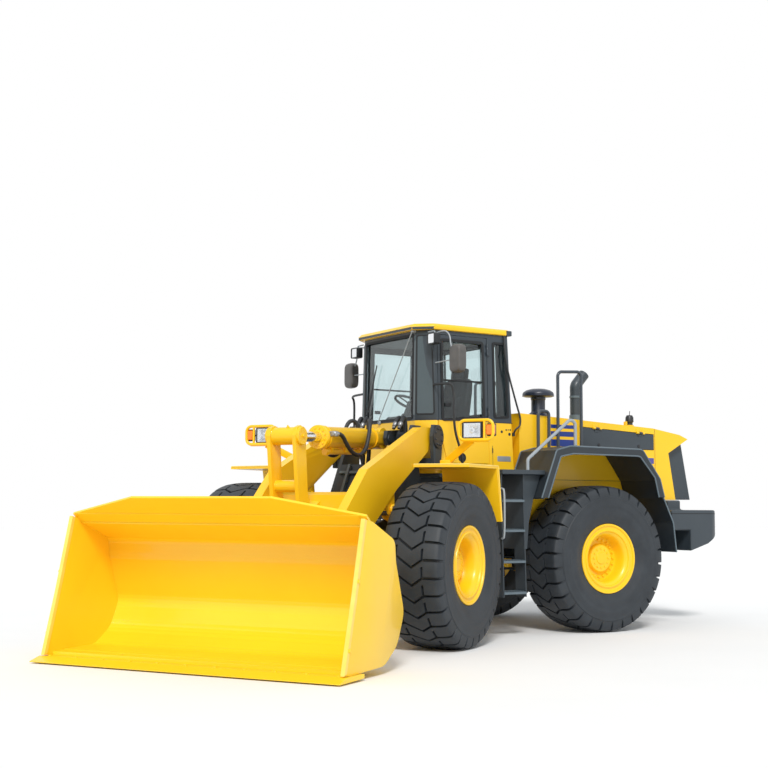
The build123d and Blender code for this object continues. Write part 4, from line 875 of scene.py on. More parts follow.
# %% Tower hoses
hose_rows = [
    # y of the hose, then how much farther back than the others its loop hangs
    (0.205, 0.00), (0.270, -0.03), (-0.205, 0.00), (-0.270, -0.03),
]
hoses, fittings = [], []
for y, slack in hose_rows:
    route = [(0.960, y, 2.330), (0.900, y, 2.400), (0.830 - slack, y, 2.430),
             (0.790 - slack, y, 2.330), (0.790 - slack, y, 2.100), (0.810, y, 1.960),
             (0.830, y, 1.840), (0.850, y, 1.700)]
    hoses.append(tube(smooth_path(route, steps=7, bend=0.5), 0.024))
    for place, direction in (((0.960, y, 2.330), (0.65, 0, -0.76)),
                             ((0.850, y, 1.700), (0.14, 0, -0.99))):
        fittings.append(lathe([(0.026, -0.030), (0.029, -0.026), (0.029, 0.0), (0.026, 0.005),
                               (0.026, 0.024), (0.019, 0.028), (0.019, 0.055)], 20, place,
                              direction))
piece("tilt_hoses", hoses, hose_rubber, "front_frame", "tyre_rubber", front=True)
piece("tilt_hose_fittings", fittings, steel, "front_frame", "edge_steel", front=True)
print("tower hoses", len(hoses))

# %% [markdown]
# ## Hoses on the tilt cylinder
# A hose leaves a bright fitting on each side of the barrel's head, sags below the barrel and rises
# over its back. It ends in a port on the barrel, so the whole hose swings with it and nothing has
# to stretch.

# %% Barrel hoses
hoses, fittings = [], []
for side in (1, -1):
    y = side * 0.152
    route = [(2.200, y, 2.168), (2.080, y, 2.165), (1.975, y, 2.060), (1.860, y, 1.985),
             (1.700, y, 1.955), (1.560, y, 2.025), (1.495, y, 2.150), (1.455, y * 0.98, 2.290),
             (1.400, y * 0.80, 2.365), (1.340, y * 0.50, 2.350), (1.325, y * 0.38, 2.255)]
    hoses.append(tube(smooth_path(route, steps=7, bend=0.5), 0.022))
    fittings.append(lathe([(0.022, -0.020), (0.028, -0.014), (0.028, 0.030), (0.024, 0.034),
                           (0.024, 0.062), (0.017, 0.066), (0.017, 0.080)], 20, (2.200, y, 2.168),
                          (1, 0, -0.03)))
    near, far = sorted((side * 0.100, side * 0.178))
    fittings.append(box((2.235, near, 2.140), (2.262, far, 2.194), 0.004))
piece("barrel_hoses", hoses, hose_rubber, "tilt_barrel", "tyre_rubber", front=True)
piece("barrel_hose_fittings", fittings, silver, "tilt_barrel", "edge_steel", front=True)
print("barrel hoses", len(hoses))

# %% [markdown]
# ## Flat faces in space
# Window seals, trim and blank plates lie on flat faces that lean in all directions. From the
# corners of such a face come its own two directions and its normal, and the corners can be moved
# outwards to leave room for a seal.

# %% Axes of a flat face
def flat_axes(corners, out):
    """Two directions in the corners' plane, and its normal on the side of the vector out."""
    first = corners[1] - corners[0]
    first = first / np.linalg.norm(first)
    normal = np.cross(first, corners[2] - corners[1])
    normal /= np.linalg.norm(normal)
    if normal @ np.asarray(out, float) < 0:
        normal = -normal
    return first, np.cross(normal, first), normal


def grow(corners, amount):
    """Corners of a convex outline moved outwards: corner - (to next + to last) * amount / sine."""
    corners = np.asarray(corners, float)
    to_next = np.roll(corners, -1, 0) - corners
    to_last = np.roll(corners, 1, 0) - corners
    to_next /= np.linalg.norm(to_next, axis=1, keepdims=True)
    to_last /= np.linalg.norm(to_last, axis=1, keepdims=True)
    sine = np.linalg.norm(np.cross(to_next, to_last), axis=1, keepdims=True)
    return corners - (to_next + to_last) * amount / sine


print("axes of a flat face ready")

# %% [markdown]
# ## A border and a panel
# A border is a ring of rectangular section round an outline, as a window seal is. A panel is a thin
# plate with the same outline. Both are laid on the face and given their height along its normal.

# %% Border and panel
def border(corners, width, height, out, radius=0.02, lift=0.0005):
    """Ring of rectangular section: the outline and its inset by width, each at two heights."""
    corners = np.asarray(corners, float)
    first, second, normal = flat_axes(corners, out)
    plane = np.stack([first, second])
    outer = rounded((corners - corners[0]) @ plane.T, radius)
    inner = inset(outer, width)
    rings = ((outer, lift), (outer, height), (inner, height), (inner, lift))
    points = np.stack([corners[0] + ring @ plane + normal * level for ring, level in rings])
    return grid(points, wrap_rows=True, wrap_columns=True)


def panel(corners, height, out, radius=0.01, lift=0.0005, edge=0.002):
    """Thin chamfered plate: the rounded outline at two heights and its inset at the top."""
    corners = np.asarray(corners, float)
    first, second, normal = flat_axes(corners, out)
    plane = np.stack([first, second])
    outer = rounded((corners - corners[0]) @ plane.T, radius)
    rings = ((outer, lift), (outer, max(height - edge, lift + 1e-4)), (inset(outer, edge), height))
    points = np.stack([corners[0] + ring @ plane + normal * level for ring, level in rings])
    return grid(points, wrap_columns=True, caps=True)


print("border ready")

# %% [markdown]
# ## Flat bars
# Stalks, blades and small links are flat bars with rounded edges: a rounded rectangle carried along
# a line.

# %% Strut
def strut(start, end, width, depth, up=(0, 0, 1)):
    """Flat bar between two points: a chamfered rectangle carried along the line."""
    start, end = np.asarray(start, float), np.asarray(end, float)
    ahead_bar = (end - start) / np.linalg.norm(end - start)
    side = np.cross(ahead_bar, up)
    side /= np.linalg.norm(side)
    other = np.cross(side, ahead_bar)
    flat = rounded([(-width / 2, -depth / 2), (width / 2, -depth / 2), (width / 2, depth / 2),
                    (-width / 2, depth / 2)], min(width, depth) * 0.22, 2)
    ring = flat[:, :1] * side + flat[:, 1:] * other
    return grid(np.stack([start + ring, end + ring]), wrap_columns=True, caps=True)


print("a strut has", len(strut((0, 0, 0), (1, 0, 0), 0.1, 0.1)[1]), "faces")

# %% [markdown]
# ## Hoops and reflectors
# Lamps need a closed tube frame and a shallow bowl: a circle carried round a loop, and a sheet that
# falls back towards its middle.

# %% Hoop and bowl
def hoop(outline, normal, radius, sides=12):
    """Closed tube along a flat loop: loop + radius * (cos a * side + sin a * normal)."""
    outline = np.asarray(outline, float)
    ahead_loop = np.roll(outline, -1, 0) - np.roll(outline, 1, 0)
    ahead_loop /= np.linalg.norm(ahead_loop, axis=1, keepdims=True)
    normal = np.asarray(normal, float)
    side = np.cross(ahead_loop, normal)
    angle = np.linspace(0, 2 * np.pi, sides, endpoint=False)
    points = (outline[:, None] + radius * np.cos(angle)[None, :, None] * side[:, None]
              + radius * np.sin(angle)[None, :, None] * normal)
    return grid(points, wrap_rows=True, wrap_columns=True)


def bowl(low, high, x_front, depth, facing=1, steps=14):
    """Lamp reflector: over a rectangle the sheet falls back by depth * (1 - max(u^2, v^2))."""
    u, v = np.meshgrid(np.linspace(-1, 1, steps), np.linspace(-1, 1, steps), indexing="ij")
    fall = depth * (1 - np.maximum(u ** 2, v ** 2)) * (0.75 + 0.25 * np.cos(u * v * 3))
    y = (low[0] + high[0]) / 2 + u * (high[0] - low[0]) / 2
    z = (low[1] + high[1]) / 2 + v * (high[1] - low[1]) / 2
    front_sheet = np.stack([x_front - facing * fall, y, z], -1)
    back_sheet = front_sheet - (facing * 0.003, 0, 0)
    closed = np.concatenate([front_sheet, back_sheet[::-1]], 0)
    return grid(closed, wrap_rows=True)


print("bowl has", len(bowl((0, 0), (1, 1), 0, 0.1)[1]), "faces")

# %% [markdown]
# ## Headlamps
# A tube frame guards each lamp and holds it out on a slanted stalk. Between the frame's round tubes
# sit a square lamp with a bright reflector behind glass and, outboard of a bar, an amber signal
# that wraps round the side.

# %% Lamp guards
lamp_x, lamp_y, lamp_z = 1.330, 1.330, 2.230
sides = (("left", 1), ("right", -1))
tube_r, bar_y = 0.017, 1.425
half_w, half_h = 0.210 - tube_r, 0.120 - tube_r
for name, side in sides:
    flat = rounded([(-half_w, -half_h), (half_w, -half_h), (half_w, half_h), (-half_w, half_h)],
                   0.065, 8)
    loop = np.stack([np.full(len(flat), lamp_x - tube_r), side * lamp_y + flat[:, 0],
                     lamp_z + flat[:, 1]], 1)
    bar = [(lamp_x - tube_r, side * bar_y, lamp_z - half_h),
           (lamp_x - tube_r, side * bar_y, lamp_z + half_h)]
    stalk = strut((lamp_x - 0.235, side * 0.905, 1.915), (lamp_x - 0.045, side * 1.270, 2.125),
                  0.080, 0.030, (1, 0, 0))
    foot_y = sorted((side * 0.84, side * 0.96))
    foot = box((lamp_x - 0.290, foot_y[0], 1.8603), (lamp_x - 0.170, foot_y[1], 1.925), 0.006,
               0.015)
    shelf = box((lamp_x - 0.060, side * lamp_y - 0.14, 2.105),
                (lamp_x - 0.020, side * lamp_y + 0.14, 2.125), 0.004)
    piece(f"lamp_guard_{name}",
          [hoop(loop, (1, 0, 0), tube_r), tube(bar, 0.014), stalk, foot, shelf], yellow,
          "front_frame", "yellow_paint", ("front_lamps",), front=True)
print("lamp guards", len(sides))

# %% [markdown]
# ## Lamp cases
# Behind the frame sits a black square housing for the main lamp and a slim one for the signal, tied
# by a bar. A rim round the glass hides the edge between reflector and housing.

# %% Lamp cases
for name, side in sides:
    near, far = sorted((side * 1.160, side * 1.405))
    housing = [box((lamp_x - 0.125, near, 2.128), (lamp_x - 0.030, far, 2.330), 0.006, 0.03,
                   across=0)]
    near, far = sorted((side * 1.440, side * 1.535))
    housing.append(box((lamp_x - 0.085, near, 2.165), (lamp_x - 0.045, far, 2.300), 0.006, 0.012,
                       across=0))
    housing.append(strut((lamp_x - 0.09, side * 1.38, 2.23), (lamp_x - 0.075, side * 1.46, 2.23),
                         0.05, 0.02))
    low_y, high_y = sorted((side * 1.185, side * 1.382))
    rim_x, rim = lamp_x - 0.030, 0.012
    rim_corners = [(rim_x, low_y - rim, 2.140), (rim_x, high_y + rim, 2.140),
                   (rim_x, high_y + rim, 2.318), (rim_x, low_y - rim, 2.318)]
    housing.append(border(rim_corners, 0.014, 0.016, (1, 0, 0), 0.014))
    piece(f"lamp_case_{name}", housing, black, "front_frame", "dark_paint", front=True)
print("lamp cases", len(sides))

# %% [markdown]
# ## Reflectors and lenses
# The reflector is a shallow metal bowl with a small shield for the bulb. Its glass has upright
# flutes: a sheet whose front moves out and in by a millimetre from column to column. The signal's
# lens is an amber block.

# %% Reflectors and lenses
flute_count, flute_depth = 29, 0.0012
for name, side in sides:
    low_y, high_y = sorted((side * 1.185, side * 1.382))
    shield = lathe([(0.034, 0), (0.030, 0.006), (0.012, 0.009), (0.004, 0.009)], 24,
                   (lamp_x - 0.027, side * 1.283, 2.229), (1, 0, 0))
    piece(f"lamp_mirror_{name}",
          [bowl((low_y, 2.154), (high_y, 2.304), lamp_x - 0.020, 0.006), shield], bright,
          "front_frame", "rod_chrome", front=True)
    flutes = np.linspace(low_y, high_y, flute_count)
    wave = flute_depth * np.cos(np.arange(flute_count) * np.pi)
    sheet = np.stack([np.stack([lamp_x - 0.014 + wave, flutes, np.full(flute_count, z)], 1)
                      for z in (2.156, 2.302)])
    back = sheet.copy()
    back[..., 0] = lamp_x - 0.018
    points, faces = grid(np.concatenate([sheet, back[::-1]]), wrap_rows=True)
    caps = [tuple(row * flute_count + end for row in range(4)) for end in (0, flute_count - 1)]
    piece(f"lamp_lens_{name}", [(points, faces + caps)], clear, "front_frame", "tinted_glass",
          front=True)
    near, far = sorted((side * 1.444, side * 1.540))
    piece(f"signal_lens_{name}", [box((lamp_x - 0.050, near, 2.178), (lamp_x - 0.012, far, 2.286),
                                      0.008, 0.016, across=0)], amber, "front_frame",
          "tinted_glass", front=True)
print("flutes on each lens", flute_count)

# %% [markdown]
# ## Cab seals and panes
# Every window sits in a black rubber seal, and the slanted corner beside the windscreen is a narrow
# dark pane. The cab leans inwards as it rises, so each corner of a seal gets its place from the
# wall's own slope.

# %% Slope of the cab walls
cab_low, cab_high = 1.855, 3.430


def wall_y(z):
    """Half width of the cab at a height: it narrows evenly from floor to roof."""
    return 0.800 - 0.060 * (z - cab_low) / (cab_high - cab_low)


def front_x(z):
    """Place of the windscreen's wall at a height."""
    return 0.398 - 0.028 * (z - cab_low) / (cab_high - cab_low)


def back_x(z):
    """Place of the cab's rear wall at a height."""
    return -0.850 + 0.050 * (z - cab_low) / (cab_high - cab_low)


def on_side(outline, side, lift=0.0):
    """Corners in X and Z laid on the leaning side wall."""
    return np.array([(x, side * (wall_y(z) + lift), z) for x, z in outline])


print("cab half width at the sill", round(wall_y(sill), 3), "at the roof",
      round(wall_y(cab_high), 3))

# %% [markdown]
# ## Seals round the windows
# A rubber seal is a ring of rectangular section that stands a few millimetres over the wall. Four
# outlines are enough: the windscreen, the rear window and the two small side panes behind the
# doors.

# %% Window seals
door_window = [(-0.430, 2.450), (-0.430, 3.320), (0.140, 3.320), (0.140, 2.410)]
rear_window_side = [(-0.780, 2.470), (-0.760, 3.330), (-0.590, 3.330), (-0.590, 2.460)]
front_corners = [(front_x(z), y, z) for y,
                 z in ((-0.520, 2.430), (0.520, 2.430), (0.520, 3.380), (-0.520, 3.380))]
back_corners = [(back_x(z), y, z) for y,
                z in ((0.560, 2.530), (-0.560, 2.530), (-0.560, 3.340), (0.560, 3.340))]
seals = [border(grow(front_corners, 0.018), 0.030, 0.008, (1, 0, 0), 0.04),
         border(grow(back_corners, 0.018), 0.030, 0.008, (-1, 0, 0), 0.04)]
for side in (1, -1):
    seals.append(border(grow(on_side(rear_window_side, side), 0.016), 0.028, 0.008, (0, side, 0),
                        0.03))
piece("window_seals", seals, groove_black, "rear_frame", "tyre_rubber")
print("seals", len(seals))

# %% [markdown]
# ## Corner panes
# Between windscreen and door the cab has a slanted corner with a dark pane. The pane's corners are
# found at a share of the way across that slanted wall, at two heights, and a narrow dark strip
# carries the glass on to the front.

# %% Corner panes
corner_panes, corner_seals = [], []
for side in (1, -1):
    corners = []
    for share, z in ((0.10, 2.47), (0.93, 2.47), (0.93, 3.37), (0.10, 3.37)):
        t = (z - cab_low) / (cab_high - cab_low)
        start = np.array((0.212 + 0.033 * t, 0.800 - 0.060 * t))
        end = np.array((0.398 - 0.028 * t, 0.585 - 0.020 * t))
        x, y = start + share * (end - start)
        corners.append((x, side * y, z))
    corner_panes.append(panel(corners, 0.004, (1, side, 0), 0.03))
    corner_seals.append(border(grow(corners, 0.006), 0.014, 0.009, (1, side, 0), 0.03))
    corner_panes.append(panel([(front_x(z) + 0.0005, side * y, z) for y,
                               z in ((0.541, 2.46), (0.580, 2.46), (0.572, 3.375), (0.541, 3.375))],
                              0.003, (1, 0, 0), 0.004))
dark_glass = finish("dark_glass", (0.045, 0.070, 0.082), 0.08, (0.055, 0.082, 0.094), scale=2.0,
                    coat=0.6)
piece("corner_panes", corner_panes, dark_glass, "rear_frame", "tinted_glass")
piece("corner_seals", corner_seals, groove_black, "rear_frame", "tyre_rubber")
print("corner panes", len(corner_panes))

# %% [markdown]
# ## Door trim
# Each door has a seal round its window, a bar across the glass, a small catch and a round handle
# sunk in a dish. They ride on the door's own body, so they swing with it.

# %% Door trim
for name, side in sides:
    body = f"cab_door_{name}"
    trim = [border(grow(on_side(door_window, side), 0.018), 0.032, 0.010, (0, side, 0), 0.04)]
    bar_z = 2.862
    rail_y = side * (wall_y(bar_z) - 0.018)
    trim.append(box((-0.432, min(rail_y, rail_y + side * 0.012), bar_z - 0.010),
                    (0.142, max(rail_y, rail_y + side * 0.012), bar_z + 0.010), 0.002, across=0))
    trim.append(panel(on_side([(0.02, 2.60), (0.10, 2.60), (0.10, 2.56), (0.02, 2.56)], side,
                              -0.017), 0.016, (0, side, 0), 0.008))
    piece(f"door_trim_{name}", trim, groove_black, body, "tyre_rubber")
    place = (-0.114, side * wall_y(1.983), 1.983)
    handle = [lathe([(0.052, 0), (0.052, 0.006), (0.044, 0.009), (0.041, 0.002), (0.02, 0.001)], 32,
                    place, (0, side, 0)), strut(np.array(place) + (0.03, side * 0.006, 0.0),
                                                np.array(place) + (-0.03, side * 0.006, 0.0), 0.022,
                                                0.008, (0, side, 0))]
    piece(f"door_handle_{name}", handle, black, body, "dark_paint")
print("doors trimmed", len(sides))

# %% [markdown]
# ## Cab body trim
# Thin seams part the pressed panels, small dark holes hold plugs, and blank plates mark where
# labels would be. They are shallow plates that stand a millimetre or two over the wall, so nothing
# flickers.

# %% Cab body trim
seams, plugs, plates = [], [], []
for side in (1, -1):
    out = (0, side, 0)
    seams.append(panel(on_side([(-0.549, 1.87), (-0.549, 2.13), (-0.544, 2.13), (-0.544, 1.87)],
                               side), 0.0012, out, 0.001, edge=0.0004))
    seams.append(panel(on_side([(-0.845, 2.396), (-0.845, 2.402), (-0.505, 2.402), (-0.505, 2.396)],
                               side), 0.0015, out, 0.001, edge=0.0004))
    seams.append(panel(on_side([(0.205, 2.396), (0.205, 2.402), (0.212, 2.402), (0.212, 2.396)],
                               side), 0.0015, out, 0.001, edge=0.0004))
    for x, z, r in ((-0.685, 2.297, 0.016), (-0.750, 2.321, 0.010), (-0.780, 2.322, 0.008),
                    (-0.810, 2.323, 0.010), (-0.796, 2.271, 0.018)):
        plugs.append(lathe([(r, 0.0), (r, 0.002), (r * 0.8, 0.0035), (0.001, 0.0035)], 20,
                           (x, side * (wall_y(z) - 0.0005), z), out))
    plugs.append(panel(on_side([(-0.553, 2.045), (-0.553, 2.105), (-0.540, 2.105), (-0.540, 2.045)],
                               side), 0.006, out, 0.004))
    plates.append(panel(on_side([(-0.804, 1.951), (-0.804, 2.013), (-0.612, 2.013),
                                 (-0.612, 1.951)], side), 0.003, out, 0.006))
piece("cab_seams", seams, groove_black, "rear_frame", "dark_paint")
piece("cab_plugs", plugs, black, "rear_frame", "dark_paint")
piece("cab_blank_plates", plates, silver, "rear_frame", "edge_steel")
print("seams", len(seams), "plugs", len(plugs))

# %% [markdown]
# ## Grab handles
# A long bent rail stands before each door, from the windscreen's edge down to the platform, and a
# thinner one runs down the cab's rear corner. The front rail keeps clear of the tower, which sweeps
# past it in a full turn.

# %% Grab handles
handles = []
for side in (1, -1):
    route = [(0.262, side * 0.770, 2.800), (0.250, side * 1.080, 2.795),
             (0.206, side * 1.085, 2.735), (0.206, side * 1.090, 2.400),
             (0.185, side * 1.090, 2.240), (0.110, side * 1.090, 2.040),
             (0.075, side * 1.075, 1.900), (0.070, side * 1.060, 1.795)]
    handles.append(tube(smooth_path(route, bend=0.42), 0.014, 14))
    route = [(-0.745, side * 0.752, 3.425), (-0.735, side * 0.800, 3.090),
             (-0.880, side * 0.822, 2.600), (-0.925, side * 0.832, 2.460),
             (-0.915, side * 0.832, 2.370), (-0.860, side * 0.822, 2.330),
             (-0.851, side * 0.780, 2.270)]
    handles.append(tube(smooth_path(route, bend=0.42), 0.011, 12))
    handles.append(box((-0.866, min(side * 0.778, side * 0.800), 2.250),
                       (-0.836, max(side * 0.778, side * 0.800), 2.290), 0.004))
piece("cab_handles", handles, black, "rear_frame", "dark_paint")
print("handles and feet", len(handles))

# %% [markdown]
# ## Roof
# The roof is a pressed panel with a raised middle and three shallow ribs. A lip runs round its
# front, painted a paler yellow as a painted highlight, with a dark band below it. Bevelled plates
# on the imported roof give that relief without touching its shape.

# %% Roof pressing and lip
roof_parts = [panel([(-0.760, -0.640, 3.505), (-0.760, 0.640, 3.505), (0.180, 0.640, 3.505),
                     (0.260, 0.500, 3.505), (0.260, -0.500, 3.505), (0.180, -0.640, 3.505)], 0.016,
                    (0, 0, 1), 0.05, edge=0.012)]
for y in (-0.32, 0.0, 0.32):
    roof_parts.append(panel([(-0.70, y - 0.045, 3.520), (-0.70, y + 0.045, 3.520),
                             (0.16, y + 0.045, 3.520), (0.16, y - 0.045, 3.520)], 0.010, (0, 0, 1),
                            0.04, edge=0.008))
piece("roof_pressing", roof_parts, yellow, "rear_frame", "yellow_paint")
corner_caps = []
for side in (1, -1):
    low_y, high_y = sorted((side * 0.690, side * 0.7735))
    corner_caps.append(box((-0.8435, low_y, 3.4285), (-0.770, high_y, 3.490), 0.006))
piece("roof_rear_corners", corner_caps, slate, "rear_frame", "dark_paint")
lip = [(0.252, -0.772, 3.468), (0.4425, -0.592, 3.468), (0.4425, 0.592, 3.468),
       (0.252, 0.772, 3.468)]
under_lip = [panel([(0.4425, -0.586, 3.434), (0.4425, 0.586, 3.434), (0.4425, 0.586, 3.461),
                    (0.4425, -0.586, 3.461)], 0.002, (1, 0, 0), 0.004)]
for side in (1, -1):
    under_lip.append(panel([(0.2575, side * 0.7668, 3.434), (0.4385, side * 0.5958, 3.434),
                            (0.4385, side * 0.5958, 3.461), (0.2575, side * 0.7668, 3.461)], 0.002,
                           (1, side, 0), 0.004))
piece("roof_under_lip", under_lip, slate, "rear_frame", "dark_paint")
piece("roof_front_lip", [tube(smooth_path(lip, bend=0.04), 0.006, 10)], highlight_yellow, "rear_frame",
      "yellow_paint")
print("roof parts", len(roof_parts))

# %% [markdown]
# ## Work lamps and mirror arms
# Two square work lamps stand at the roof's front corners, each with its own reflector in a black
# case. Thin bent tubes carry the lamps and the mirrors.

# %% Work lamps and arms
brackets, cases, mirrors_small = [], [], []
for side in (1, -1):
    middle = side * 0.850
    cases.append(box((0.270, middle - 0.075, 3.246), (0.345, middle + 0.075, 3.374), 0.008, 0.020,
                     across=0))
    low, high = (middle - 0.075, 3.246), (middle + 0.075, 3.374)
    cases.append(border([(0.345, low[0], low[1]), (0.345, high[0], low[1]),
                         (0.345, high[0], high[1]), (0.345, low[0], high[1])], 0.012, 0.014,
                        (1, 0, 0), 0.020))
    mirrors_small.append(bowl((middle - 0.062, 3.259), (middle + 0.062, 3.361), 0.352, 0.005))
    brackets.append(tube(smooth_path([(0.300, side * 0.720, 3.400), (0.300, side * 0.850, 3.400),
                                      (0.300, side * 0.850, 3.368)], bend=0.4), 0.008, 10))
    brackets.append(tube(smooth_path([(0.275, side * 0.755, 3.370), (0.250, side * 0.980, 3.400),
                                      (0.204, side * 1.010, 3.345), (0.210, side * 1.040, 3.210),
                                      (0.212, side * 1.120, 3.130)], bend=0.45), 0.008, 10))
    brackets.append(tube([(0.232, side * 0.765, 3.05), (0.212, side * 1.095, 3.06)], 0.007, 10))
piece("work_lamp_cases", cases, black, "rear_frame", "dark_paint", ("roof_lamps",))
piece("work_lamp_reflectors", mirrors_small, bright, "rear_frame", "rod_chrome")
piece("lamp_and_mirror_arms", brackets, pale_grey, "rear_frame", "rod_chrome")
print("arms", len(brackets))

# %% [markdown]
# ## Rod and wiper on the windscreen
# A thin rod crosses the windscreen from its upper corner to a round foot at the sill. The wiper has
# an arm and a flat blade, and lies a few millimetres over the glass.

# %% Rod and wiper
wiper = [tube([(0.412, 0.555, 3.420), (0.420, -0.169, 2.411)], 0.0055, 8),
         lathe([(0.024, 0), (0.024, 0.022), (0.016, 0.030), (0.004, 0.030)], 20,
               (0.386, -0.169, 2.411), (1, 0, 0)),
         box((0.372, 0.535, 3.405), (0.420, 0.575, 3.428), 0.003)]
piece("screen_rod", wiper, pale_grey, "rear_frame", "edge_steel")
blade = [tube([(0.398, -0.45, 2.47), (0.392, -0.30, 2.95)], 0.006, 8),
         strut((0.396, -0.47, 2.52), (0.389, -0.25, 3.10), 0.016, 0.010, (1, 0, 0)),
         lathe([(0.022, 0), (0.022, 0.016), (0.004, 0.020)], 20, (0.388, -0.455, 2.415), (1, 0, 0))]
piece("wiper", blade, black, "rear_frame", "dark_paint")
print("rod parts", len(wiper), "wiper parts", len(blade))

# %% [markdown]
# ## Pillow forms
# Seat pads and mirror shells are both boxes with full, round corners. A superellipsoid gives that
# in one formula: its exponent makes the sides flat and the corners round. Shallow channels can be
# pressed in where a seat has seams.

# %% Pad
def pad(centre, half, tilt, exponent=0.34, channels=(), depth=0.012, rows=48, columns=96):
    """Superellipsoid: half * signed powers of sines and cosines; a channel lowers it on a line."""
    a = np.linspace(-np.pi / 2 + 1e-3, np.pi / 2 - 1e-3, rows)[:, None]
    b = np.linspace(0, 2 * np.pi, columns, endpoint=False)[None, :]

    def power(values):
        """The size of each value raised to the exponent, with its sign kept."""
        return np.sign(values) * np.abs(values) ** exponent

    x, y = power(np.cos(a)) * power(np.cos(b)), power(np.cos(a)) * power(np.sin(b))
    z = power(np.sin(a)) * np.ones_like(b)
    crown = 1 + 0.10 * (1 - x ** 2) * (1 - y ** 2)
    points = np.stack([x * half[0], y * half[1], z * half[2] * crown], -1)
    for axis, value in channels:
        dip = depth * np.exp(-((points[..., axis] - value) / 0.007) ** 2)
        points[..., 2] -= np.sign(points[..., 2]) * dip * (np.abs(z) > 0.6)
    c, s = math.cos(tilt), math.sin(tilt)
    turned_points = points.copy()
    turned_points[..., 0] = points[..., 0] * c + points[..., 2] * s
    turned_points[..., 2] = -points[..., 0] * s + points[..., 2] * c
    return grid(turned_points + np.asarray(centre), wrap_columns=True, caps=True)


print("a pad has", len(pad((0, 0, 0), (1, 1, 1), 0)[1]), "faces")

# %% [markdown]
# ## Mirrors
# Each mirror is a rounded plastic shell at the end of its arms, with the glass on its rear face.
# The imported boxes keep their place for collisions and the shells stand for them.

# %% Mirrors
shells, glass_faces = [], []
for side in (1, -1):
    shells.append(pad((0.205, side * 1.165, 3.062), (0.060, 0.098, 0.146), 0.0, exponent=0.36,
                      rows=28, columns=56))
    low_y, high_y = sorted((side * 1.100, side * 1.230))
    glass_faces.append(panel([(0.1478, low_y, 2.960), (0.1478, high_y, 2.960),
                              (0.1478, high_y, 3.164), (0.1478, low_y, 3.164)], 0.004, (-1, 0, 0),
                             0.03))
piece("mirror_shells", shells, mirror_back, "rear_frame", "dark_paint", ("mirrors",), sharp=60)
piece("mirror_glasses", glass_faces, bright, "rear_frame", "rod_chrome")
print("mirrors", len(shells))

# %% [markdown]
# ## Seat
# A driver's seat is foam under cloth: crowned in the middle and drawn in at its seams. Cloth
# simulation would give folds, but a firm seat has none, so the pad's formula with its channels is
# enough.

# %% Seat pads
back_tilt = 1.437
pad_seams = ((0, -0.09), (0, 0.05), (1, -0.15), (1, 0.15))
back_seams = ((0, -0.10), (0, 0.08), (1, -0.15), (1, 0.15))
seat_rows = [
    # name, centre, half sizes before the tilt, tilt, channels (axis and place)
    ("seat_pad", (-0.295, 0.0, 2.276), (0.232, 0.232, 0.054), 0.02, pad_seams),
    ("seat_back", (-0.585, 0.0, 2.640), (0.335, 0.250, 0.056), back_tilt, back_seams),
    ("head_rest", (-0.640, 0.0, 3.030), (0.070, 0.140, 0.045), back_tilt, ((1, 0.0),)),
]
for name, centre, half, tilt, channels in seat_rows:
    cushion = piece(name, [pad(centre, half, tilt, channels=channels)], cloth, "rear_frame",
                    "seat_cloth", ("seat_cushion",) if name == "seat_pad" else (), sharp=60)
print("pads", len(seat_rows))

# %% [markdown]
# ## Controls and lining
# Arm rests, a console with three levers, the dashboard and the roof's lining are what the windows
# show. They are plain moulded plastic, so rounded blocks and small turned knobs are enough.

# %% Controls and lining
controls = [box((-0.52, side * 0.30 - 0.05, 2.42), (-0.14, side * 0.30 + 0.05, 2.47), 0.012, 0.03)
            for side in (1, -1)]
controls += [box((-0.34, -0.42, 1.89), (0.02, -0.28, 2.36), 0.012, 0.03),
             box((0.14, -0.20, 2.330), (0.30, 0.20, 2.480), 0.020, 0.04)]
for x, y in ((-0.05, -0.33), (-0.12, -0.33), (-0.19, -0.37)):
    controls += [tube([(x, y, 2.35), (x + 0.01, y, 2.50)], 0.007, 8),
                 lathe([(0.008, 0), (0.022, 0.012), (0.024, 0.035), (0.014, 0.052), (0.003, 0.055)],
                       16, (x + 0.01, y, 2.49), (0, 0, 1))]
piece("cab_controls", controls, plastic, "rear_frame", "cabin_plastic")
linings = [box((-0.74, -0.66, 3.375), (0.28, 0.66, 3.395), 0.006, 0.05)]
for side in (1, -1):
    low_y, high_y = sorted((side * 0.640, side * 0.700))
    linings.append(box((-0.70, low_y, 1.890), (-0.52, high_y, 2.350), 0.01, 0.02))
piece("cab_lining", linings, plastic, "rear_frame", "cabin_plastic")
print("controls", len(controls), "linings", len(linings))

# %% [markdown]
# ## Hood sides
# Three dark blue bars run along the hood's side ahead of its dark panel. Painted bars could be a
# mask in the paint, but plates half a millimetre thick keep crisp edges in any export.

# %% Hood trim
hood_y = 0.800


def hood_side(x_low, x_high, z_low, z_high, side):
    """Corners of an upright rectangle on the hood's side."""
    return [(x_low, side * hood_y, z_low), (x_high, side * hood_y, z_low),
            (x_high, side * hood_y, z_high), (x_low, side * hood_y, z_high)]


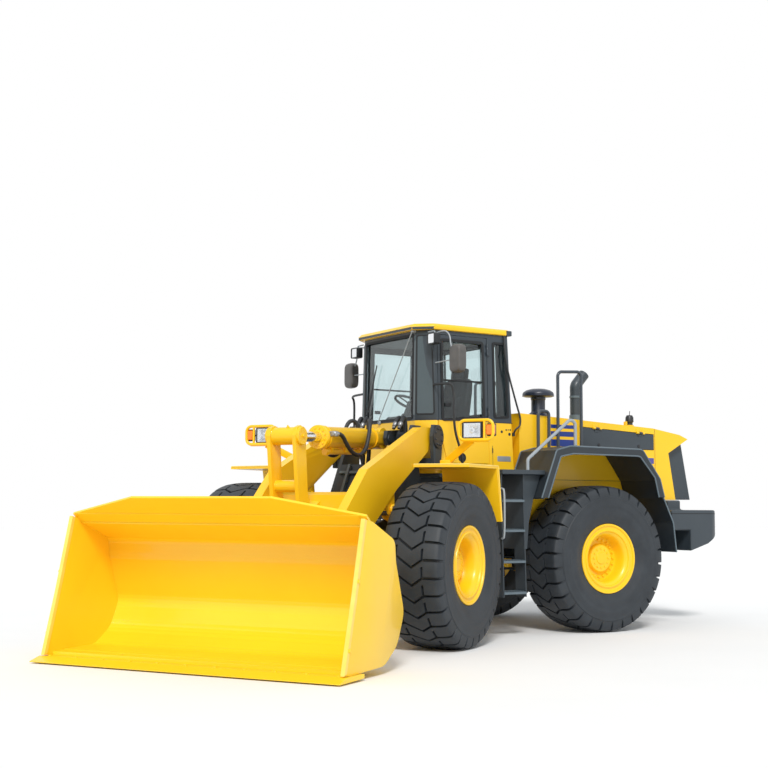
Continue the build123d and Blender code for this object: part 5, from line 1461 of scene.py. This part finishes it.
stripes, seams, plates = [], [], []
for side in (1, -1):
    out = (0, side, 0)
    for low, high in ((2.366, 2.410), (2.270, 2.330), (2.152, 2.234)):
        stripes.append(panel(hood_side(-1.795, -1.400, low, high, side), 0.0012, out, 0.002,
                             edge=0.0003))
    seams.append(panel(hood_side(-3.0730, -3.0680, 1.45, 2.415, side), 0.0012, out, 0.001,
                       edge=0.0003))
    seams.append(panel(hood_side(-1.3620, -1.3570, 1.75, 2.500, side), 0.0012, out, 0.001,
                       edge=0.0003))
    seams.append(panel(hood_side(-3.068, -1.357, 1.748, 1.753, side), 0.0012, out, 0.001,
                       edge=0.0003))
    plates.append(panel(hood_side(-3.050, -2.900, 1.975, 2.046, side), 0.002, out, 0.004))
    body = "left" if side > 0 else "right"
    latch = [lathe([(0.022, 0), (0.022, 0.004), (0.017, 0.006), (0.002, 0.006)], 24,
                   (x, side * (hood_y + 0.0005), 2.185), out) for x in (-2.15, -2.80)]
    piece(f"hood_latches_{body}", latch, black, f"hood_door_{body}", "dark_paint")
piece("hood_stripes", stripes, blue, "rear_frame", "dark_paint")
piece("hood_seams", seams, groove_black, "rear_frame", "dark_paint")
violet = finish("blank_plate_violet", (0.075, 0.070, 0.300), 0.35, (0.090, 0.085, 0.330),
                scale=20.0)
piece("hood_blank_plates", plates, violet, "rear_frame", "dark_paint")
print("stripes", len(stripes), "seams", len(seams))

# %% [markdown]
# ## Lamp on the hood
# A small black lamp with a short aerial stands on a yellow foot near the hood's rear. It is turned
# from one profile.

# %% Hood lamp
foot = [box((-2.855, 0.575, 2.429), (-2.765, 0.665, 2.462), 0.006, 0.012),
        box((-2.760, 0.600, 2.431), (-2.735, 0.640, 2.505), 0.004)]
piece("hood_lamp_foot", foot, yellow, "rear_frame", "yellow_paint")
lamp = [lathe([(0.040, 0), (0.040, 0.030), (0.052, 0.040), (0.050, 0.095), (0.036, 0.122),
               (0.004, 0.128)], 28, (-2.815, 0.620, 2.462), (0, 0, 1)),
        tube([(-2.815, 0.620, 2.585), (-2.822, 0.620, 2.640)], 0.004, 8)]
piece("hood_lamp", lamp, black, "rear_frame", "dark_paint")
print("hood lamp parts", len(foot) + len(lamp))

# %% [markdown]
# ## Air cleaner and exhaust
# The cleaner's wide cap sheds rain over a narrow neck, and its foot widens on to the hood: one
# turned profile. The exhaust keeps its bent pipe and gets a clamp, a foot and a dark mouth.

# %% Stacks
profile = [(0.165, 0.0), (0.165, 0.012), (0.150, 0.020), (0.148, 0.060), (0.092, 0.105),
           (0.086, 0.120), (0.086, 0.255), (0.092, 0.262), (0.092, 0.290), (0.176, 0.296),
           (0.192, 0.306), (0.195, 0.330), (0.186, 0.352), (0.150, 0.378), (0.090, 0.394),
           (0.010, 0.400)]
navy = finish("navy_plastic", (0.010, 0.016, 0.034), 0.38, (0.014, 0.022, 0.044), scale=6.0,
              coat=0.2)
cleaner_foot, upright = (-1.650, 0.250, 2.490), (0, 0, 1)
brim = turned([(0.170, 0.300), (0.198, 0.303), (0.198, 0.311), (0.170, 0.311)], 64, cleaner_foot,
              upright)
piece("cleaner_cap", [lathe(profile, 64, cleaner_foot, upright), brim], navy, "rear_frame",
      "dark_paint", ("air_cleaner",), sharp=40)
stack = [turned([(0.071, 0.0), (0.110, 0.0), (0.110, 0.012), (0.085, 0.020), (0.080, 0.120),
                 (0.071, 0.125)], 48, (-2.250, 0.250, 2.462), (0, 0, 1)),
         turned([(0.0705, 0.0), (0.077, 0.002), (0.077, 0.026), (0.0705, 0.028)], 48,
                (-2.250, 0.250, 2.800), (0, 0, 1))]
piece("stack_collars", stack, pale_slate, "rear_frame", "dark_paint")
mouth_line = np.array((-0.140, 0, 0.150)) / math.hypot(0.140, 0.150)
mouth = np.array((-2.390, 0.250, 3.110)) + mouth_line * 0.0006
piece("stack_mouth",
      [lathe([(0.060, 0.0), (0.060, 0.0012), (0.002, 0.0012)], 40, mouth, tuple(mouth_line))],
      groove_black, "rear_frame", "dark_paint")
print("profile points of the cleaner", len(profile))

# %% [markdown]
# ## Fender edges
# The folded edges of the dark rear fenders catch the light as two thin pale lines, and the yellow
# front fenders have one. A bead along each edge does that from every side.

# %% Fender edges
outer_edge = [(-0.725, 1.530), (-0.944, 2.070), (-1.150, 2.120), (-2.240, 2.108), (-2.515, 1.765),
              (-2.580, 1.550)]
inner_edge = [(-0.815, 1.530), (-1.000, 2.000), (-1.190, 2.035), (-2.195, 2.030), (-2.430, 1.780),
              (-2.490, 1.550)]
flap_edge = [(-2.580, 1.550), (-2.735, 1.250), (-2.780, 0.900)]
beads = []
for side in (1, -1):
    for edge, y in ((outer_edge, 1.466), (inner_edge, 1.470), (outer_edge, 0.806)):
        beads.append(tube(smooth_path([(x, side * y, z) for x, z in edge], bend=0.06, steps=5),
                          0.009, 8))
    beads.append(tube(smooth_path([(x + 0.010, side * 1.458, z) for x, z in flap_edge], bend=0.1,
                                  steps=5), 0.009, 8))
piece("fender_beads", beads, pale_slate, "rear_frame", "dark_paint")

front_beads = []
for side in (1, -1):
    edge = [(1.845, side * 0.862, 1.858), (1.748, side * 1.436, 1.858),
            (1.002, side * 1.457, 1.858), (0.906, side * 1.457, 1.275)]
    front_beads.append(tube(smooth_path(edge, bend=0.03, steps=5), 0.008, 8))
piece("front_fender_beads", front_beads, highlight_yellow, "front_frame", "yellow_paint", front=True)
print("beads", len(beads) + len(front_beads))

# %% [markdown]
# ## Seam of the counterweight
# The heavy rear casting has a thin seam below its top. The casting's outline is followed a
# millimetre and a half outside, and four rings close the band.

# %% Counterweight seam
weight = rounded([(-3.930, -1.050), (-3.930, 1.050), (-3.100, 1.050), (-3.100, -1.050)],
                 [0.15, 0.15, 0.001, 0.001], 8)
grown = inset(weight, -0.0015)
seam_low, seam_high = 1.352, 1.359
rings = ((weight, seam_low), (grown, seam_low), (grown, seam_high), (weight, seam_high))
belt = grid(np.stack([np.column_stack([ring, np.full(len(ring), level)]) for ring, level in rings]),
            wrap_rows=True, wrap_columns=True)
piece("counterweight_seam", [belt], groove_black, "rear_frame", "dark_paint")
print("seam faces", len(belt[1]))

# %% [markdown]
# ## Tail lamps
# On each side of the upper box a black rim holds a red and an amber lens. Each lens is a block with
# rounded corners that stands out a little, so it shows from the side too.

# %% Tail lamps
lenses = {"red": [], "amber": []}
cases = []
for side in (1, -1):
    for tone, near, far in (("red", 0.740, 0.860), ("amber", 0.610, 0.725)):
        low_y, high_y = sorted((side * near, side * far))
        lenses[tone].append(box((-3.418, low_y, 1.422), (-3.399, high_y, 1.500), 0.005, 0.010,
                                across=0))
    low_y, high_y = sorted((side * 0.600, side * 0.870))
    cases.append(border([(-3.400, low_y, 1.412), (-3.400, high_y, 1.412), (-3.400, high_y, 1.510),
                         (-3.400, low_y, 1.510)], 0.008, 0.012, (-1, 0, 0), 0.012))
piece("tail_lamps_red", lenses["red"], red, "rear_frame", "tinted_glass")
piece("tail_lamps_amber", lenses["amber"], amber, "rear_frame", "tinted_glass")
piece("tail_lamp_rims", cases, black, "rear_frame", "dark_paint")
print("tail lenses", sum(len(some) for some in lenses.values()))

# %% [markdown]
# ## Steps
# Treads are pressed with raised cleats that keep boots from slipping. A row of short bars on each
# tread gives that grip, and a bright loop beside the lowest steps is the first hold for a hand.

# %% Step treads
treads = []
for z, outer in ((0.470, 1.400), (0.810, 1.390), (1.150, 1.380), (1.480, 1.370)):
    for side in (1, -1):
        for x in np.linspace(-0.525, -0.275, 7):
            low_y, high_y = sorted((side * (outer - 0.185), side * (outer - 0.012)))
            treads.append(box((x - 0.010, low_y, z + 0.0295), (x + 0.010, high_y, z + 0.036),
                              0.002))
        low_y, high_y = sorted((side * (outer + 0.0005), side * (outer + 0.004)))
        treads.append(box((-0.552, low_y, z + 0.002), (-0.248, high_y, z + 0.028), 0.001))
piece("step_cleats", treads, pale_slate, "rear_frame", "dark_paint")
loops = [tube(smooth_path([(-0.238, side * 1.372, 1.080), (-0.232, side * 1.432, 1.090),
                           (-0.232, side * 1.432, 1.620), (-0.238, side * 1.368, 1.630)], bend=0.4),
              0.011, 10) for side in (1, -1)]
piece("step_loops", loops, pale_grey, "rear_frame", "edge_steel")
print("cleats and nosings", len(treads))

# %% [markdown]
# ## Bucket edges
# Wear strips edge the cheeks, their paler yellow a painted highlight where the edges catch the
# light; a weld bead closes the fold below the spill guard, and a stiffening bar lies above it.
# Beads are thin tubes and strips are plates, laid a few millimetres proud of the imported bucket.

# %% Bucket trim
strips = []
for side in (1, -1):
    low_y, high_y = sorted((side * 1.535, side * 1.5735))
    strip = [(4.604, 0.066), (4.433, 0.666), (4.264, 1.324), (4.222, 1.313), (4.391, 0.655),
             (4.556, 0.078)]
    strips.append(slab(strip, low_y, high_y, 0.003))
piece("cheek_strips", strips, highlight_yellow, "bucket", "yellow_paint", front=True)
guard_ahead, guard_out = np.array((0.7866, 0, 0.6175)), np.array((0.6175, 0, -0.7866))
fold = np.array((4.117, 0, 1.270))
bead = fold + guard_out * 0.012
welds = [tube([bead + (0, -1.53, 0), bead + (0, 1.53, 0)], 0.010, 8)]
start = fold + guard_ahead * 0.105 + guard_out * 0.0105
end = start + guard_ahead * 0.040
left_end, right_end = (0, -1.50, 0), (0, 1.50, 0)
welds.append(panel([start + left_end, start + right_end, end + right_end, end + left_end], 0.006,
                   guard_out, 0.004))
floor_bar = [(4.300, 0.0905), (4.340, 0.0905), (4.340, 0.098), (4.300, 0.102)]
welds.append(slab(floor_bar, -1.535, 1.535, 0.001))
piece("bucket_welds", welds, bucket_yellow, "bucket", "yellow_paint", front=True)
print("strips", len(strips), "welds", len(welds))

# %% [markdown]
# ## Skids and plough bolts
# The floor rests on flat steel skids, which show from behind and below. The cutting edge is held by
# a row of plough bolts, and two more bolts hold the strip on each cheek.

# %% Skids and bolts
skids = [box((3.960, y - 0.14, 0.030), (4.296, y + 0.14, 0.0585), 0.006)
         for y in (-1.25, -0.62, 0.0, 0.62, 1.25)]
piece("bucket_skids", skids, steel, "bucket", "edge_steel", front=True)
plough = [bolt((4.560, y, 0.0575), (0, 0, 1), 0.034, 0.010) for y in np.linspace(-1.5, 1.5, 11)]
plough += [bolt((x, side * 1.5735, z), (0, side, 0), 0.036, 0.012) for side in (1, -1)
           for x, z in ((4.520, 0.260), (4.372, 0.810))]
piece("plough_bolts", plough, bucket_yellow, "bucket", "yellow_paint", front=True)
print("skids", len(skids), "plough bolts", len(plough))

# %% [markdown]
# ## Ribs of the tower
# The slanted plate between the tower's sides is stiffened by three long ribs and two short bars.
# Their outlines are laid out along the plate's slope and given their height square to it.

# %% Tower ribs
slope = np.array((0.350, 0, -0.590)) / math.hypot(0.350, 0.590)
off = np.array((0.860, 0, 0.510))
top = np.array((1.152, 0, 1.888))
ribs = []
for y in (-0.24, 0.0, 0.24):
    a, b = top + slope * 0.02, top + slope * 0.64
    rib = np.array([a, b, b + off * 0.045, a + off * 0.045])[:, [0, 2]]
    ribs.append(slab(rib, y - 0.016, y + 0.016, 0.003))
for along in (0.10, 0.46):
    a = top + slope * along
    b = a + slope * 0.03
    ribs.append(slab(np.array([a, b, b + off * 0.030, a + off * 0.030])[:, [0, 2]], -0.345, 0.345,
                     0.003))
piece("tower_ribs", ribs, pale_slate, "front_frame", "dark_paint", front=True)
print("ribs", len(ribs))

# %% [markdown]
# ## Light and floor
# A soft sky from all sides carries most of the light, and one broad sun from the front left models
# the forms. The background is white to the camera, to mirrors and through glass, and dimmer as a
# light.

# %% Sky and sun
def studio(sky=0.66, sun_strength=2.3):
    """World that is white where it is seen and dimmer where it lights, and one broad sun."""
    world = bpy.data.worlds.new("studio")
    world.use_nodes = True
    bpy.context.scene.world = world
    nodes, links = world.node_tree.nodes, world.node_tree.links
    seen, lit = nodes["Background"], nodes.new("ShaderNodeBackground")
    seen.inputs["Color"].default_value = (1, 1, 1, 1)
    seen.inputs["Strength"].default_value = 1.0
    lit.inputs["Color"].default_value = (0.93, 0.97, 1, 1)
    lit.inputs["Strength"].default_value = sky
    path = nodes.new("ShaderNodeLightPath")
    total = path.outputs["Is Camera Ray"]
    for kind in ("Is Transmission Ray", "Is Glossy Ray"):
        either = nodes.new("ShaderNodeMath")
        either.operation = "MAXIMUM"
        links.new(total, either.inputs[0])
        links.new(path.outputs[kind], either.inputs[1])
        total = either.outputs["Value"]
    mix = nodes.new("ShaderNodeMixShader")
    links.new(total, mix.inputs["Fac"])
    links.new(lit.outputs["Background"], mix.inputs[1])
    links.new(seen.outputs["Background"], mix.inputs[2])
    links.new(mix.outputs["Shader"], nodes["World Output"].inputs["Surface"])

    lamp = bpy.data.lights.new("sun", "SUN")
    lamp.energy = sun_strength
    lamp.angle = math.radians(14)
    lamp.color = (1, 0.98, 0.95)
    sun = bpy.data.objects.new("sun", lamp)
    sun.rotation_euler = Vector((0.46, 0.72, 0.74)).to_track_quat("Z", "Y").to_euler()
    bpy.context.collection.objects.link(sun)


studio()
print("lamps", len(bpy.data.lights))

# %% [markdown]
# ## Floor
# A level pale floor, wider than any view, takes the shadow. It is part of the stage and not of the
# machine.

# %% Floor
def floor(size=60):
    """A level pale floor, wider than any view."""
    corners = [(-size, -size, 0), (size, -size, 0), (size, size, 0), (-size, size, 0)]
    mesh = bpy.data.meshes.new("floor")
    mesh.from_pydata(corners, [], [(0, 1, 2, 3)])
    mesh.materials.append(finish("pale_floor", (0.93, 0.93, 0.93), 0.9, (0.91, 0.91, 0.91),
                                 scale=0.6, grain=(60.0, 0.02)))
    ground = bpy.data.objects.new("floor", mesh)
    bpy.context.collection.objects.link(ground)
    ground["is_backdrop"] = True


floor()
bpy.context.scene.view_settings.view_transform = "Standard"
print("floor laid")

# %% [markdown]
# ## Measure and finish
# The box of the dressed machine is printed.

# %% Measure and finish
low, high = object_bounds()
print("visual box", [round(v, 3) for v in (*low, *high)])
